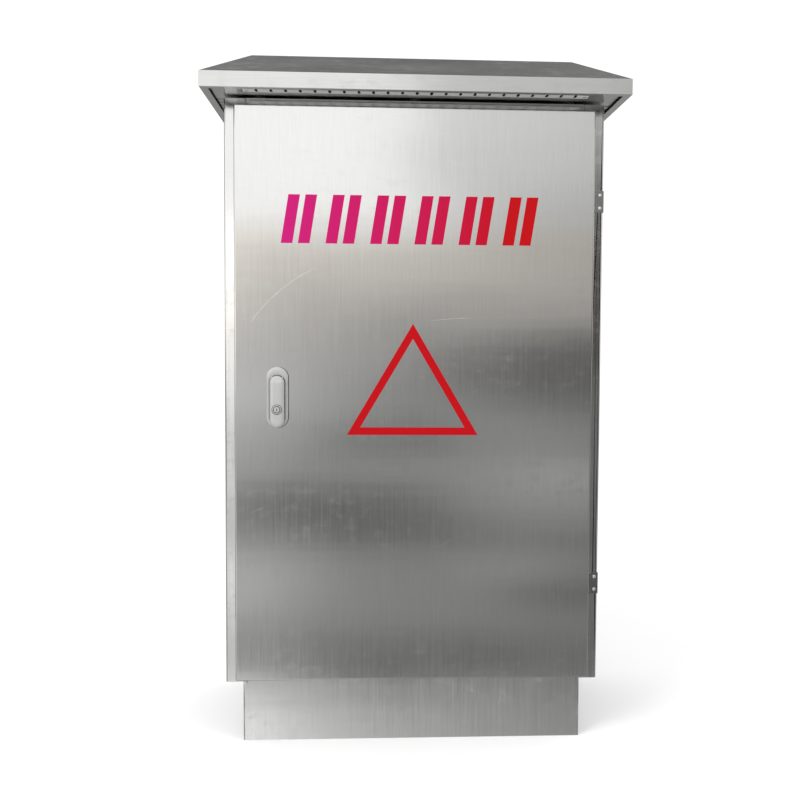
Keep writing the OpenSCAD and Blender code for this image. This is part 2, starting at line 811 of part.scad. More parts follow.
module door_hinge_screws() {
    head = 0.8;
    x = door_x + leaf_t;
    color(chrome)
        for (z = hinge_zs, s = [-1, 1]) {
            rod_x(x, x + head, door_screw_y, z + s * hinge_screw_pitch / 2, 3.2);
            rod_x(door_x - sheet - 5, x, door_screw_y, z + s * hinge_screw_pitch / 2,
                  hinge_screw_r);
        }
}

// ---- lock ----

// A flat bar with round ends, upright, between two heights and two depths.
module lozenge(w, z0, z1, y0, y1) {
    r = w / 2;
    span([lock_x - r, y0, z0 + r], [lock_x + r, y1, z1 - r]);
    for (z = [z0 + r, z1 - r]) rod_y(lock_x, z, y0, y1, r);
}

module lock_plate() {
    z0 = lock_z - lock_h / 2;
    z1 = lock_z + lock_h / 2;
    color(chrome) difference() {
        union() {
            lozenge(lock_w, z0, z1, lock_plate_y, door_face);
            span([lock_x - housing_w / 2, door_face, lock_z - housing_h / 2],
                 [lock_x + housing_w / 2, housing_back, lock_z + housing_h / 2]);
        }
        rod_y(lock_x, spindle_z, lock_plate_y - 1, housing_back + 1, spindle_r + running);
        span([lock_x - housing_w / 2 + 3, door_inner, lock_z - housing_h / 2 + 3],
             [lock_x + housing_w / 2 - 3, housing_back + 1, spindle_z - spindle_r - 6]);
    }
}

// The bracket that draws the lock's housing against the inside of the door.
module lock_clamp() {
    half = housing_w / 2 + seat_gap;
    t = 2;
    foot = 8;
    z0 = lock_z - 30;
    z1 = lock_z - 6;
    color(zinc) {
        span([lock_x - half - t, housing_back, z0], [lock_x + half + t, housing_back + t, z1]);
        for (s = [-1, 1]) {
            span([lock_x + s * (half + t / 2) - t / 2, door_inner, z0],
                 [lock_x + s * (half + t / 2) + t / 2, housing_back + t, z1]);
            span([lock_x + s * (half + t + foot / 2) - foot / 2, door_inner, z0],
                 [lock_x + s * (half + t + foot / 2) + foot / 2, door_inner + t, z1]);
        }
    }
}

module lock_spindle() {
    square_y = cam_y - 0.2;
    color(zinc) difference() {
        union() {
            rod_y(lock_x, spindle_z, handle_back, square_y, spindle_r);
            span([lock_x - cam_square / 2, square_y, spindle_z - cam_square / 2],
                 [lock_x + cam_square / 2, cam_y + cam_t + 5, spindle_z + cam_square / 2]);
            translate([lock_x - ear_w / 2, 0, 0]) rotate([90, 0, 90]) linear_extrude(ear_w) {
                translate([tilt_y, tilt_z]) circle(3);
                translate([tilt_y - 2.5, spindle_z - spindle_r + 1])
                    square([handle_back - tilt_y + 2.5, tilt_z - spindle_z + spindle_r - 1]);
            }
        }
        rod_x(lock_x - ear_w, lock_x + ear_w, tilt_y, tilt_z, tilt_pin_r + 0.02);
    }
}

module lock_cam() {
    hole = cam_square / 2 + 0.1;
    color(zinc) difference() {
        union() {
            rod_y(lock_x, spindle_z, cam_y, cam_y + cam_t, cam_w / 2 + 2);
            span([lock_x - cam_w / 2, cam_y, spindle_z - cam_reach + cam_w / 2],
                 [lock_x + cam_w / 2, cam_y + cam_t, spindle_z]);
            rod_y(lock_x, spindle_z - cam_reach + cam_w / 2, cam_y, cam_y + cam_t, cam_w / 2);
        }
        span([lock_x - hole, cam_y - 1, spindle_z - hole],
             [lock_x + hole, cam_y + cam_t + 1, spindle_z + hole]);
    }
}

module lock_cam_nut() {
    y = cam_y + cam_t;
    color(zinc) difference() {
        translate([lock_x, y + 4, spindle_z]) rotate([90, 0, 0]) cylinder(h = 4, r = 9, $fn = 6);
        span([lock_x - cam_square / 2 - 0.1, y - 1, spindle_z - cam_square / 2 - 0.1],
             [lock_x + cam_square / 2 + 0.1, y + 5, spindle_z + cam_square / 2 + 0.1]);
    }
}

// The lever from the side: flat below, drawn in to a round heel about its pivot.
module handle_side() {
    translate([tilt_y, tilt_z]) circle(tilt_r);
    polygon([[handle_back, handle_z0], [handle_back, tilt_z], [tilt_y - tilt_r, tilt_z],
             [handle_face, tilt_z - 9], [handle_face, handle_z0 + 4],
             [handle_face + 3, handle_z0]]);
}

module lock_handle() {
    pocket_half = ear_w / 2 + seat_gap;
    color(chrome) difference() {
        intersection() {
            translate([lock_x - handle_w / 2, 0, 0]) rotate([90, 0, 90])
                linear_extrude(handle_w) handle_side();
            lozenge(handle_w, handle_z0, handle_z1, handle_face - 1, handle_back + 1);
        }
        span([lock_x - pocket_half, tilt_y - 3.3, spindle_z - spindle_r - 4],
             [lock_x + pocket_half, handle_back + 1, tilt_z]);
        rod_x(lock_x - pocket_half, lock_x + pocket_half, tilt_y, tilt_z, 3.3);
        span([lock_x - pocket_half, tilt_y, tilt_z],
             [lock_x + pocket_half, handle_back + 1, tilt_z + 3.3]);
        rod_x(lock_x - 11, lock_x + 11, tilt_y, tilt_z, tilt_pin_r + running);
        rod_y(lock_x, button_z, handle_face - 1, handle_face - button_proud + button_h
              + button_travel + seat_gap, button_r + running);
    }
}

module lock_handle_pin() {
    color(zinc) rod_x(lock_x - 10.7, lock_x + 10.7, tilt_y, tilt_z, tilt_pin_r);
}

module lock_button() {
    y0 = handle_face - button_proud;
    color(chrome) difference() {
        rod_y(lock_x, button_z, y0, y0 + button_h, button_r);
        span([lock_x - 0.6, y0 - 1, button_z - 3.5], [lock_x + 0.6, y0 + 1.5, button_z + 3.5]);
    }
}

// ---- mounting plate ----

module stud_places() {
    for (s = [-1, 1], z = stud_zs) translate([s * stud_x, 0, z]) children();
}

module mounting_plate() {
    y = panel_y;
    z1 = plate_z0 + plate_h;
    color(zinc) difference() {
        span([-plate_w / 2, y, plate_z0], [plate_w / 2, y + plate_fold, z1]);
        span([-plate_w / 2 + plate_t, y + plate_t, plate_z0 + plate_t],
             [plate_w / 2 - plate_t, y + plate_fold + 1, z1 - plate_t]);
        stud_places() rod_y(0, 0, y - 1, y + plate_t + 1, stud_r + 0.5);
        plate_screw_places() rod_y(0, 0, y - 1, y + plate_t + 1, screw_r + screw_clear);
    }
}

module plate_studs() {
    color(zinc) stud_places() {
        rod_y(0, 0, panel_y - stud_tail, back - sheet, stud_r);
        rod_y(0, 0, back - sheet - stud_head_t, back - sheet, stud_head_r);
    }
}

module plate_spacers() {
    color(zinc) stud_places() difference() {
        rod_y(0, 0, panel_y + plate_t, back - sheet - stud_head_t, spacer_r);
        rod_y(0, 0, panel_y, back, stud_r + screw_clear);
    }
}

module plate_nuts() {
    color(zinc) stud_places() difference() {
        translate([0, panel_y, 0]) {
            rotate([90, 0, 0]) cylinder(h = plate_washer_t, r = 2 * stud_r);
            translate([0, -plate_washer_t, 0]) rotate([90, 0, 0])
                cylinder(h = plate_nut_h, r = 1.85 * stud_r, $fn = 6);
        }
        rod_y(0, 0, panel_y - stud_tail - 1, panel_y + 1, stud_r + running);
    }
}

// ---- rails and what they carry ----

module device_rail(z) {
    brim = 5;
    color(zinc) difference() {
        translate([-rail_l / 2, rail_face, z]) rotate([90, 0, 90]) linear_extrude(rail_l)
            union() {
                translate([0, -rail_h / 2]) square([rail_t, brim]);
                translate([0, rail_h / 2 - brim]) square([rail_t, brim]);
                for (s = [-1, 1])
                    translate([0, s * (rail_h / 2 - brim) - (s > 0 ? 0 : rail_t)])
                        square([rail_depth, rail_t]);
                translate([rail_depth - rail_t, -rail_h / 2 + brim - rail_t])
                    square([rail_t, rail_h - 2 * brim + 2 * rail_t]);
            }
        for (s = [-1, 1])
            rod_y(s * rail_screw_x, z, panel_y - rail_t - 1, panel_y + 1,
                  screw_r + screw_clear);
    }
}

// Where the M5 screws pass through the mounting plate: rails, shelf and earth bar.
module plate_screw_places() {
    for (s = [-1, 1], z = [upper_z, lower_z]) translate([s * rail_screw_x, 0, z]) children();
    for (s = [-1, 1]) translate([s * shelf_screw_x, 0, shelf_screw_z]) children();
    for (s = [-1, 1]) translate([s * earth_screw_x, 0, earth_z]) children();
}

// A pan-head screw from the front, with its head on the surface at y.
module screw_from_front(y, length) {
    rod_y(0, 0, y - screw_head_t, y, screw_head_r);
    rod_y(0, 0, y, y + length, screw_r);
}

module machine_screws() {
    plate_grip = plate_t + 6;
    color(zinc) {
        for (s = [-1, 1], z = [upper_z, lower_z]) translate([s * rail_screw_x, 0, z])
            screw_from_front(panel_y - rail_t, rail_t + plate_grip);
        for (s = [-1, 1]) translate([s * shelf_screw_x, 0, shelf_screw_z])
            screw_from_front(panel_y - shelf_t, shelf_t + plate_grip);
        for (s = [-1, 1]) translate([s * earth_screw_x, 0, earth_z])
            screw_from_front(panel_y - earth_standoff - earth_size[1],
                             earth_standoff + earth_size[1] + plate_grip);
        gland_screw_places() translate([0, 0, gland_z + gland_t]) {
            cylinder(h = screw_head_t, r = screw_head_r);
            translate([0, 0, -gland_t - sheet - 6]) cylinder(h = gland_t + sheet + 6, r = screw_r);
        }
    }
}

// The stepped side of a rail device, seen along X, with y measured from the rail's face.
module device_side(h, deep, nose_deep) {
    difference() {
        union() {
            translate([-deep, -h / 2]) square([deep + 3.6, h]);
            translate([-nose_deep, -nose_h / 2]) square([nose_deep, nose_h]);
        }
        translate([0, -rail_h / 2 - 0.2]) square([5, rail_h + 0.4]);
    }
}

module rail_device(x, z, w, h = module_h, deep = 50, nose_deep = 64) {
    translate([x - w / 2, rail_face, z]) rotate([90, 0, 90]) linear_extrude(w)
        device_side(h, deep, nose_deep);
}

module breaker_case(x, poles) {
    w = poles * module_w;
    difference() {
        rail_device(x, upper_z, w);
        span([x - toggle_w / 2 - 0.4, rail_face - 70, upper_z - 7.5],
             [x + toggle_w / 2 + 0.4, toggle_y + toggle_r + 0.4, upper_z + 7.5]);
        for (i = [0:poles - 1], s = [-1, 1])
            rod_y(x + (i - (poles - 1) / 2) * module_w, upper_z + s * 33, rail_face - 51,
                  rail_face - 44, 3.2);
        for (i = [0:poles - 1], s = [-1, 1]) {
            cx = x + (i - (poles - 1) / 2) * module_w;
            span([cx - 4, rail_face - 38, upper_z + s * (module_h / 2 - 3) - 4],
                 [cx + 4, rail_face - 28, upper_z + s * (module_h / 2 - 3) + 4]);
        }
    }
}

module main_breaker() {
    color(cream) breaker_case(main_x, 2);
}

module branch_breakers() {
    color(cream) for (x = branch_x) breaker_case(x, 1);
}

// A switch lever standing up from its barrel, in the on position.
module toggle(x) {
    color(black) union() {
        rod_x(x - toggle_w / 2, x + toggle_w / 2, toggle_y, upper_z, toggle_r);
        translate([x, toggle_y, upper_z]) rotate([-toggle_tilt, 0, 0])
            translate([-lever_w / 2, -15, -2]) cube([lever_w, 12, 4]);
    }
}

module surge_arrester() {
    w = 2 * module_w;
    color(grey) difference() {
        rail_device(arrester_x, upper_z, w);
        span([arrester_x - 0.5, rail_face - 65, upper_z - 19],
             [arrester_x + 0.5, rail_face - 52, upper_z + 19]);
        for (i = [-0.5, 0.5]) {
            span([arrester_x + i * module_w - 3, rail_face - 65, upper_z + 8],
                 [arrester_x + i * module_w + 3, rail_face - 63, upper_z + 14]);
            for (s = [-1, 1]) rod_y(arrester_x + i * module_w, upper_z + s * 33,
                                    rail_face - 51, rail_face - 44, 3.2);
        }
    }
}

module power_supply() {
    w = 78;
    h = 122;
    deep = 92;
    step = [26, 22];
    color(zinc) difference() {
        translate([supply_x - w / 2, rail_face, upper_z]) rotate([90, 0, 90]) linear_extrude(w)
            difference() {
                translate([-deep, -h / 2]) square([deep + 3.6, h]);
                translate([0, -rail_h / 2 - 0.2]) square([5, rail_h + 0.4]);
                translate([-deep - 1, -h / 2 - 1]) square(step);
                translate([-deep - 1, h / 2 + 1 - step[1]]) square(step);
            }
        for (i = [0:4], s = [-1, 1])
            rod_y(supply_x + (i - 2) * 13, upper_z + s * (h / 2 - 10), rail_face - deep + 20,
                  rail_face - deep + 32, 3.4);
        for (i = [-4:4])
            span([supply_x + i * 7.5 - 1.5, rail_face - deep - 1, upper_z - 28],
                 [supply_x + i * 7.5 + 1.5, rail_face - deep + 2, upper_z + 28]);
    }
}

module terminal_blocks() {
    count = 30;
    pitch = 10;
    w = pitch - module_gap;
    color(cream)
        for (i = [0:count - 1]) {
            x = (i - (count - 1) / 2) * pitch;
            difference() {
                translate([x - w / 2, rail_face, lower_z]) rotate([90, 0, 90])
                    linear_extrude(w) difference() {
                        polygon([[3.6, -26], [3.6, 26], [-22, 26], [-34, 14], [-42, 14],
                                 [-42, -14], [-34, -14], [-22, -26]]);
                        translate([0, -rail_h / 2 - 0.2]) square([5, rail_h + 0.4]);
                        translate([-43, -4]) square([9, 8]);
                    }
                for (s = [-1, 1]) rod_y(x, lower_z + s * 9, rail_face - 43, rail_face - 34, 2.6);
            }
        }
}

module earth_bar() {
    y = panel_y - earth_standoff;
    w = earth_size[0];
    color(copper) difference() {
        union() {
            span([-w / 2, y - earth_size[1], earth_z - earth_size[2] / 2],
                 [w / 2, y, earth_z + earth_size[2] / 2]);
            for (s = [-1, 1]) rod_y(s * earth_screw_x, earth_z, y - 1, panel_y, 7);
        }
        for (s = [-1, 1]) rod_y(s * earth_screw_x, earth_z, y - 10, panel_y + 1,
                                screw_r + screw_clear);
        for (i = [-4:4]) rod_y(i * 20, earth_z, y - 10, y + 1, 3);
    }
}

// ---- controller ----

module equipment_shelf() {
    w = rack_w + 20;
    y0 = rack_y0 + 8;
    lip = 14;
    color(zinc) difference() {
        union() {
            span([-w / 2, y0, shelf_z], [w / 2, panel_y, shelf_z + shelf_t]);
            span([-w / 2, panel_y - shelf_t, shelf_z - 36],
                 [w / 2, panel_y, shelf_z + shelf_t]);
            span([-w / 2, y0, shelf_z - lip], [w / 2, y0 + shelf_t, shelf_z + shelf_t]);
            for (s = [-1, 1])
                translate([s * (w / 2 - shelf_t / 2) - shelf_t / 2, 0, 0]) rotate([90, 0, 90])
                    linear_extrude(shelf_t)
                        polygon([[y0, shelf_z], [panel_y, shelf_z],
                                 [panel_y, shelf_z - 36], [y0, shelf_z - lip]]);
        }
        for (s = [-1, 1]) rod_y(s * shelf_screw_x, shelf_screw_z, panel_y - shelf_t - 1,
                                panel_y + 1, screw_r + screw_clear);
    }
}

module controller_rack() {
    z1 = rack_z0 + rack_h;
    y1 = rack_y0 + rack_d;
    color(grey) difference() {
        span([-rack_w / 2, rack_y0, rack_z0], [rack_w / 2, y1, z1]);
        span([-rack_w / 2 + rack_sheet, rack_y0 - 1, rack_z0 + rack_sheet],
             [rack_w / 2 - rack_sheet, y1 - rack_sheet, z1 - rack_sheet]);
        for (i = [-8:8])
            translate([i * 22, rack_y0 + rack_d / 2 + 10, z1 - rack_sheet - 1])
                slot_y(6, 110, rack_sheet + 2);
    }
}

// A plug-in card: front panel, circuit board and a pull handle.
module card(x0, w) {
    z0 = rack_z0 + rack_sheet + 0.4;
    z1 = rack_z0 + rack_h - rack_sheet - 0.4;
    y1 = rack_y0 + rack_d - rack_sheet - 8;
    y0 = rack_y0 + 1;
    span([x0 + 0.2, y0, z0], [x0 + w - 0.2, y0 + panel_t, z1]);
    span([x0 + 6, y0 + panel_t - 0.5, z0], [x0 + 7.6, y1, z1]);
    difference() {
        span([x0 + w / 2 - 5, y0 - 14, z0 + 14], [x0 + w / 2 + 5, y0 + 0.5, z0 + 66]);
        span([x0 + w / 2 - 6, y0 - 9, z0 + 20], [x0 + w / 2 + 6, y0, z0 + 60]);
    }
}

module processor_card() {
    y0 = rack_y0 + 1;
    window_z = rack_z0 + rack_h - 92;
    mid = cards_x0 + cpu_w / 2;
    color(zinc) difference() {
        union() {
            card(cards_x0, cpu_w);
            span([mid - 40, y0 - 3, window_z - 8], [mid + 40, y0 + 0.5, window_z + 58]);
            span([mid - 38, y0, key_z - 10], [mid + 38, y0 + 8, key_z + 10]);
        }
        span([mid - 32, y0 - 4, window_z], [mid + 32, y0 - 1.5, window_z + 42]);
        for (x = key_x)
            rod_y(x, key_z, y0 - 1, y0 + 6, key_r + 0.3);
        for (i = [-2:2]) rod_y(mid + i * 14, key_z + 28, y0 - 1, y0 + 1, 2);
    }
}

module driver_cards() {
    y0 = rack_y0 + 1;
    color(cream)
        for (i = [0:card_count - 1]) {
            x0 = cards_x0 + cpu_w + 1 + i * card_w;
            difference() {
                card(x0, card_w);
                for (k = [0:5])
                    rod_y(x0 + card_w / 2, rack_z0 + rack_h - 40 - k * 20, y0 - 1, y0 + 1.2, 4);
            }
        }
}

module key_cap(i) {
    y0 = rack_y0 + 1;
    color(black) rod_y(key_x[i], key_z, y0 - 2.4, y0 + 6 - key_travel - 0.2, key_r);
}

plinth();
plinth_bolts();
body_shell();
floor_plate();
gland_plate();
cable_grommets();
top_plate();
roof_spacers();
roof_bolts();
roof_canopy();
roof_soffit();
vent_strip();
vent_rivets();
door_panel();
door_stiffeners();
door_gasket();
document_pocket();
sign_bars();
sign_triangle();
frame_leaf(hinge_zs[1]);  // upper_hinge_frame_leaf
door_leaf(hinge_zs[1]);  // upper_hinge_door_leaf
hinge_pin(hinge_zs[1]);  // upper_hinge_pin
frame_leaf(hinge_zs[0]);  // lower_hinge_frame_leaf
door_leaf(hinge_zs[0]);  // lower_hinge_door_leaf
hinge_pin(hinge_zs[0]);  // lower_hinge_pin
frame_hinge_screws();
door_hinge_screws();
lock_plate();
lock_clamp();
lock_spindle();
lock_cam();
lock_cam_nut();
lock_handle();
lock_handle_pin();
lock_button();
mounting_plate();
plate_studs();
plate_spacers();
plate_nuts();
device_rail(upper_z);  // device_rail_upper
device_rail(lower_z);  // device_rail_lower
machine_screws();
main_breaker();
toggle(main_x);  // main_toggle
branch_breakers();
toggle(branch_x[0]);  // branch_toggle_1
toggle(branch_x[1]);  // branch_toggle_2
toggle(branch_x[2]);  // branch_toggle_3
surge_arrester();
power_supply();
terminal_blocks();
earth_bar();
equipment_shelf();
controller_rack();
processor_card();
driver_cards();
key_cap(0);  // key_left
key_cap(1);  // key_middle
key_cap(2);  // key_right
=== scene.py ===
"""Looks for a stainless roadside cabinet: brushed sheet, lock, hinges and the gear behind the door."""

from math import cos, radians, sin, sqrt, tau

import bmesh
import bpy
from mathutils import Matrix, Vector


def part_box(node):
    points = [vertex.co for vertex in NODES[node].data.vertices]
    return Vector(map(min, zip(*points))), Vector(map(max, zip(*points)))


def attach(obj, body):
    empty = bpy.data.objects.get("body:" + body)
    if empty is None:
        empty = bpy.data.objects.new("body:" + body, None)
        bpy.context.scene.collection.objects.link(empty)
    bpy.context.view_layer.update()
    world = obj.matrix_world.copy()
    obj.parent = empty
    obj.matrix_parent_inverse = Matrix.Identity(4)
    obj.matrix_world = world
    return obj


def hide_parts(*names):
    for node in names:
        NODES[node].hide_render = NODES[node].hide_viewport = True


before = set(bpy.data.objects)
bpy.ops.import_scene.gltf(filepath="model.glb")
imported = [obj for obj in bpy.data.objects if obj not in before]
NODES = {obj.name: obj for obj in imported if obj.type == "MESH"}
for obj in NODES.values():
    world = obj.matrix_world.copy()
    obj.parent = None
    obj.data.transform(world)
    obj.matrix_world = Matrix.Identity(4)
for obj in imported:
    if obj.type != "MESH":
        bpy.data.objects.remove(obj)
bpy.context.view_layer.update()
MM = 0.001


# ---- camera ----

CAMERA_PLACE = (-0.0809, -2.1483, 0.7579)
CAMERA_YAW = 0.0571
CAMERA_PITCH = 0.0564
CAMERA_ROLL = 0.0065
CAMERA_LENS = 47.35
CAMERA_SHIFT = (-0.0387, -0.003)


def make_camera():
    """A view from a little left of the middle, turned slightly right and down."""
    data = bpy.data.cameras.new("camera")
    data.sensor_width = 36
    data.lens = CAMERA_LENS
    data.shift_x, data.shift_y = CAMERA_SHIFT
    camera = bpy.data.objects.new("camera", data)
    bpy.context.scene.collection.objects.link(camera)
    forward = Vector((sin(CAMERA_YAW) * cos(CAMERA_PITCH),
                      cos(CAMERA_YAW) * cos(CAMERA_PITCH), -sin(CAMERA_PITCH)))
    right = Vector((cos(CAMERA_YAW), -sin(CAMERA_YAW), 0))
    up = right.cross(forward)
    rolled_right = cos(CAMERA_ROLL) * right + sin(CAMERA_ROLL) * up
    rolled_up = cos(CAMERA_ROLL) * up - sin(CAMERA_ROLL) * right
    turn = Matrix((rolled_right, rolled_up, -forward)).transposed()
    camera.matrix_world = Matrix.Translation(CAMERA_PLACE) @ turn.to_4x4()
    bpy.context.scene.camera = camera


# ---- node helpers ----

class Graph:
    """A node tree under construction. Each method adds one node and returns the socket it feeds."""

    def __init__(self, tree):
        self.tree = tree
        tree.nodes.clear()

    def add(self, kind, **settings):
        node = self.tree.nodes.new(kind)
        for key, value in settings.items():
            setattr(node, key, value)
        return node

    def feed(self, socket, value):
        """Links a socket, or sets its own value."""
        if isinstance(value, bpy.types.NodeSocket):
            self.tree.links.new(value, socket)
        elif value is not None:
            socket.default_value = value

    def place(self):
        """The point being shaded, in the shared frame at rest."""
        return self.add("ShaderNodeTexCoord").outputs["Object"]

    def axis(self, vector, name):
        split = self.add("ShaderNodeSeparateXYZ")
        self.feed(split.inputs[0], vector)
        return split.outputs[name]

    def math(self, operation, a, b=None, c=None):
        node = self.add("ShaderNodeMath", operation=operation)
        for socket, value in zip(node.inputs, (a, b, c)):
            self.feed(socket, value)
        return node.outputs[0]

    def vector(self, operation, a, b=None):
        node = self.add("ShaderNodeVectorMath", operation=operation)
        self.feed(node.inputs[0], a)
        self.feed(node.inputs[1], b)
        return node.outputs["Value" if operation == "DISTANCE" else 0]

    def noise(self, stretch, detail=2.0, roughness=0.5, place=None):
        """Noise from 0 to 1 with `stretch` waves a metre along each axis."""
        node = self.add("ShaderNodeTexNoise")
        self.feed(node.inputs["Vector"], self.vector("MULTIPLY", place or self.place(), stretch))
        node.inputs["Scale"].default_value = 1.0
        node.inputs["Detail"].default_value = detail
        node.inputs["Roughness"].default_value = roughness
        return node.outputs["Fac"]

    def span(self, value, low, high, out_low=0.0, out_high=1.0, smooth=False):
        """Maps low..high to out_low..out_high and holds the ends."""
        node = self.add("ShaderNodeMapRange")
        if smooth:
            node.interpolation_type = "SMOOTHSTEP"
        for name, number in (("Value", value), ("From Min", low), ("From Max", high),
                             ("To Min", out_low), ("To Max", out_high)):
            self.feed(node.inputs[name], number)
        return node.outputs["Result"]

    def ramp(self, value, stops):
        """A colour ramp through (position, colour or grey) stops."""
        node = self.add("ShaderNodeValToRGB")
        self.feed(node.inputs[0], value)
        node.color_ramp.interpolation = "EASE"
        elements = node.color_ramp.elements
        for order, (position, colour) in enumerate(stops):
            element = elements[order] if order < len(elements) else elements.new(position)
            element.position = position
            grey = isinstance(colour, (int, float))
            element.color = (colour,) * 3 + (1,) if grey else (*colour, 1)
        return node.outputs["Color"]

    def profile(self, value, low, high, stops):
        """A ramp whose stops are given in the value's own units."""
        shares = [((place - low) / (high - low), colour) for place, colour in stops]
        return self.ramp(self.span(value, low, high), shares)

    def mix(self, share, a, b, blend="MIX"):
        node = self.add("ShaderNodeMix", data_type="RGBA", blend_type=blend)
        self.feed(node.inputs[0], share)
        for socket, value in ((node.inputs[6], a), (node.inputs[7], b)):
            if isinstance(value, tuple):
                value = (*value, 1)[:4]
            self.feed(socket, value)
        return node.outputs[2]

    def bump(self, height, distance, strength=1.0, normal=None):
        node = self.add("ShaderNodeBump")
        self.feed(node.inputs["Height"], height)
        node.inputs["Distance"].default_value = distance
        node.inputs["Strength"].default_value = strength
        self.feed(node.inputs["Normal"], normal)
        return node.outputs["Normal"]


def material(name):
    """A new material: (the material, its graph, its Principled shader)."""
    made = bpy.data.materials.new(name)
    made.use_nodes = True
    graph = Graph(made.node_tree)
    shader = graph.add("ShaderNodeBsdfPrincipled")
    output = graph.add("ShaderNodeOutputMaterial")
    graph.feed(output.inputs["Surface"], shader.outputs["BSDF"])
    return made, graph, shader


# ---- materials ----

STEEL_TINT = (1, 1, 0.985)
# How strongly the sheet's flats sway and ripple.
SHEET_WAVE = 0.4
# From this far to either side of the middle, the frame's front edge strips flare.
EDGE_STRIP = 0.325
# Keeps the brushing direction from lying exactly along a face's normal.
OFF_AXIS = Vector((0.01, 0.02, 0.03))


def scratch_marks(graph, scratches):
    """Thin arcs, each on the upper half of a circle: its centre's x and z, its radius, where along x
    the arc starts and ends. Returns 1 on a scratch and 0 off it."""
    fade = 0.02
    side = graph.axis(graph.place(), "X")
    height = graph.axis(graph.place(), "Z")
    upright = graph.vector("MULTIPLY", graph.place(), (1, 0, 1))
    mark = 0.0
    for x, z, radius, start, end in scratches:
        away = graph.vector("DISTANCE", upright, (x, 0, z))
        line = graph.span(graph.math("ABSOLUTE", graph.math("SUBTRACT", away, radius)),
                          0.0002, 0.0007, 1, 0)
        line = graph.math("MULTIPLY", line, graph.span(side, start, start + fade))
        line = graph.math("MULTIPLY", line, graph.span(side, end - fade, end, 1, 0))
        line = graph.math("MULTIPLY", line, graph.span(height, z, z + fade))
        mark = graph.math("MAXIMUM", mark, line)
    return mark


def brushed_steel(name, tone, roughness, grain, spread=0.85, flare=0.0, scratches=()):
    """Brushed stainless sheet. `grain` is the brushing direction, across which highlights stretch by
    `spread`. `flare` tilts a front edge strip outwards, and `scratches` are scratch_marks."""
    made, graph, shader = material(name)
    along = Vector(grain).normalized()
    fine_lines = graph.noise(tuple(14 if abs(a) > 0.5 else 1100 for a in along), detail=2)
    coarse_lines = graph.noise(tuple(7 if abs(a) > 0.5 else 260 for a in along), detail=3)
    weave = graph.noise(tuple(700 if abs(a) > 0.5 else 22 for a in along), detail=2)
    cloud = graph.noise((3.5, 3.5, 5), detail=4)
    spots = graph.noise((38, 38, 60), detail=4, roughness=0.62)
    lines = graph.math("MULTIPLY_ADD", fine_lines, 0.55, graph.math("MULTIPLY", coarse_lines, 0.25))
    lines = graph.math("MULTIPLY_ADD", weave, 0.2, lines)
    shade = graph.span(lines, 0.32, 0.68, tone * 0.955, tone * 1.045)
    shade = graph.math("MULTIPLY", shade, graph.span(cloud, 0.3, 0.7, 0.975, 1.02))
    rough = graph.span(coarse_lines, 0.3, 0.7, roughness * 0.88, roughness * 1.12)
    rough = graph.math("MULTIPLY", rough, graph.span(cloud, 0.3, 0.7, 0.82, 1.25))
    rough = graph.math("MULTIPLY", rough, graph.span(spots, 0.52, 0.75, 1.0, 1.35))
    if scratches:
        mark = graph.math("MULTIPLY", scratch_marks(graph, scratches),
                          graph.span(spots, 0.35, 0.6, 0.2, 1.0))
        shade = graph.math("MULTIPLY_ADD", mark, 0.14, shade)
        rough = graph.math("MULTIPLY_ADD", mark, 0.15, rough)
    graph.feed(shader.inputs["Base Color"], graph.mix(1.0, shade, STEEL_TINT, blend="MULTIPLY"))
    graph.feed(shader.inputs["Roughness"], rough)
    sway = graph.noise((1.5, 1.5, 2.6), detail=1)
    ripple = graph.noise((1.3, 1.3, 16), detail=2)
    normal = graph.bump(sway, 0.004, SHEET_WAVE)
    normal = graph.bump(ripple, 0.0003, SHEET_WAVE, normal)
    if flare:
        out = graph.math("ABSOLUTE", graph.axis(graph.place(), "X"))
        out = graph.math("MULTIPLY", graph.math("MAXIMUM", out, EDGE_STRIP), -flare)
        normal = graph.bump(out, 1.0, 1.0, normal)
    graph.feed(shader.inputs["Normal"], graph.bump(fine_lines, 0.000008, 0.3, normal))
    shader.inputs["Metallic"].default_value = 1.0
    shader.inputs["Anisotropic"].default_value = spread
    brushing = graph.add("ShaderNodeVectorTransform", vector_type="VECTOR",
                         convert_from="OBJECT", convert_to="WORLD")
    brushing.inputs[0].default_value = along + OFF_AXIS
    facing = graph.add("ShaderNodeNewGeometry").outputs["Normal"]
    across = graph.vector("CROSS_PRODUCT", facing, brushing.outputs[0])
    graph.feed(shader.inputs["Tangent"], across)
    return made


def plain_metal(name, tone, roughness, tint=(1, 1, 1), grit=400):
    """Plated or satin metal with a fine grit and a little mottling."""
    made, graph, shader = material(name)
    cloud = graph.noise((60, 60, 60), detail=3)
    fine = graph.noise((grit, grit, grit), detail=2)
    shade = graph.span(cloud, 0.3, 0.7, tone * 0.9, tone * 1.06)
    graph.feed(shader.inputs["Base Color"], graph.mix(1.0, shade, tint, blend="MULTIPLY"))
    graph.feed(shader.inputs["Roughness"],
               graph.span(fine, 0.3, 0.7, roughness * 0.85, roughness * 1.2))
    graph.feed(shader.inputs["Normal"], graph.bump(fine, 0.00004, 0.4))
    shader.inputs["Metallic"].default_value = 1.0
    return made


def satin(name, tone):
    """Satin chrome over a casting: part mirror, part even pale grey."""
    made, graph, shader = material(name)
    cloud = graph.noise((45, 45, 30), detail=3)
    fine = graph.noise((2600, 2600, 2600), detail=2)
    shade = graph.span(cloud, 0.3, 0.7, tone * 0.96, tone * 1.03)
    graph.feed(shader.inputs["Base Color"], graph.mix(1.0, shade, (1, 1, 0.99), blend="MULTIPLY"))
    graph.feed(shader.inputs["Roughness"], graph.span(fine, 0.3, 0.7, 0.3, 0.38))
    graph.feed(shader.inputs["Normal"], graph.bump(fine, 0.000012, 0.3))
    shader.inputs["Metallic"].default_value = 0.45
    return made


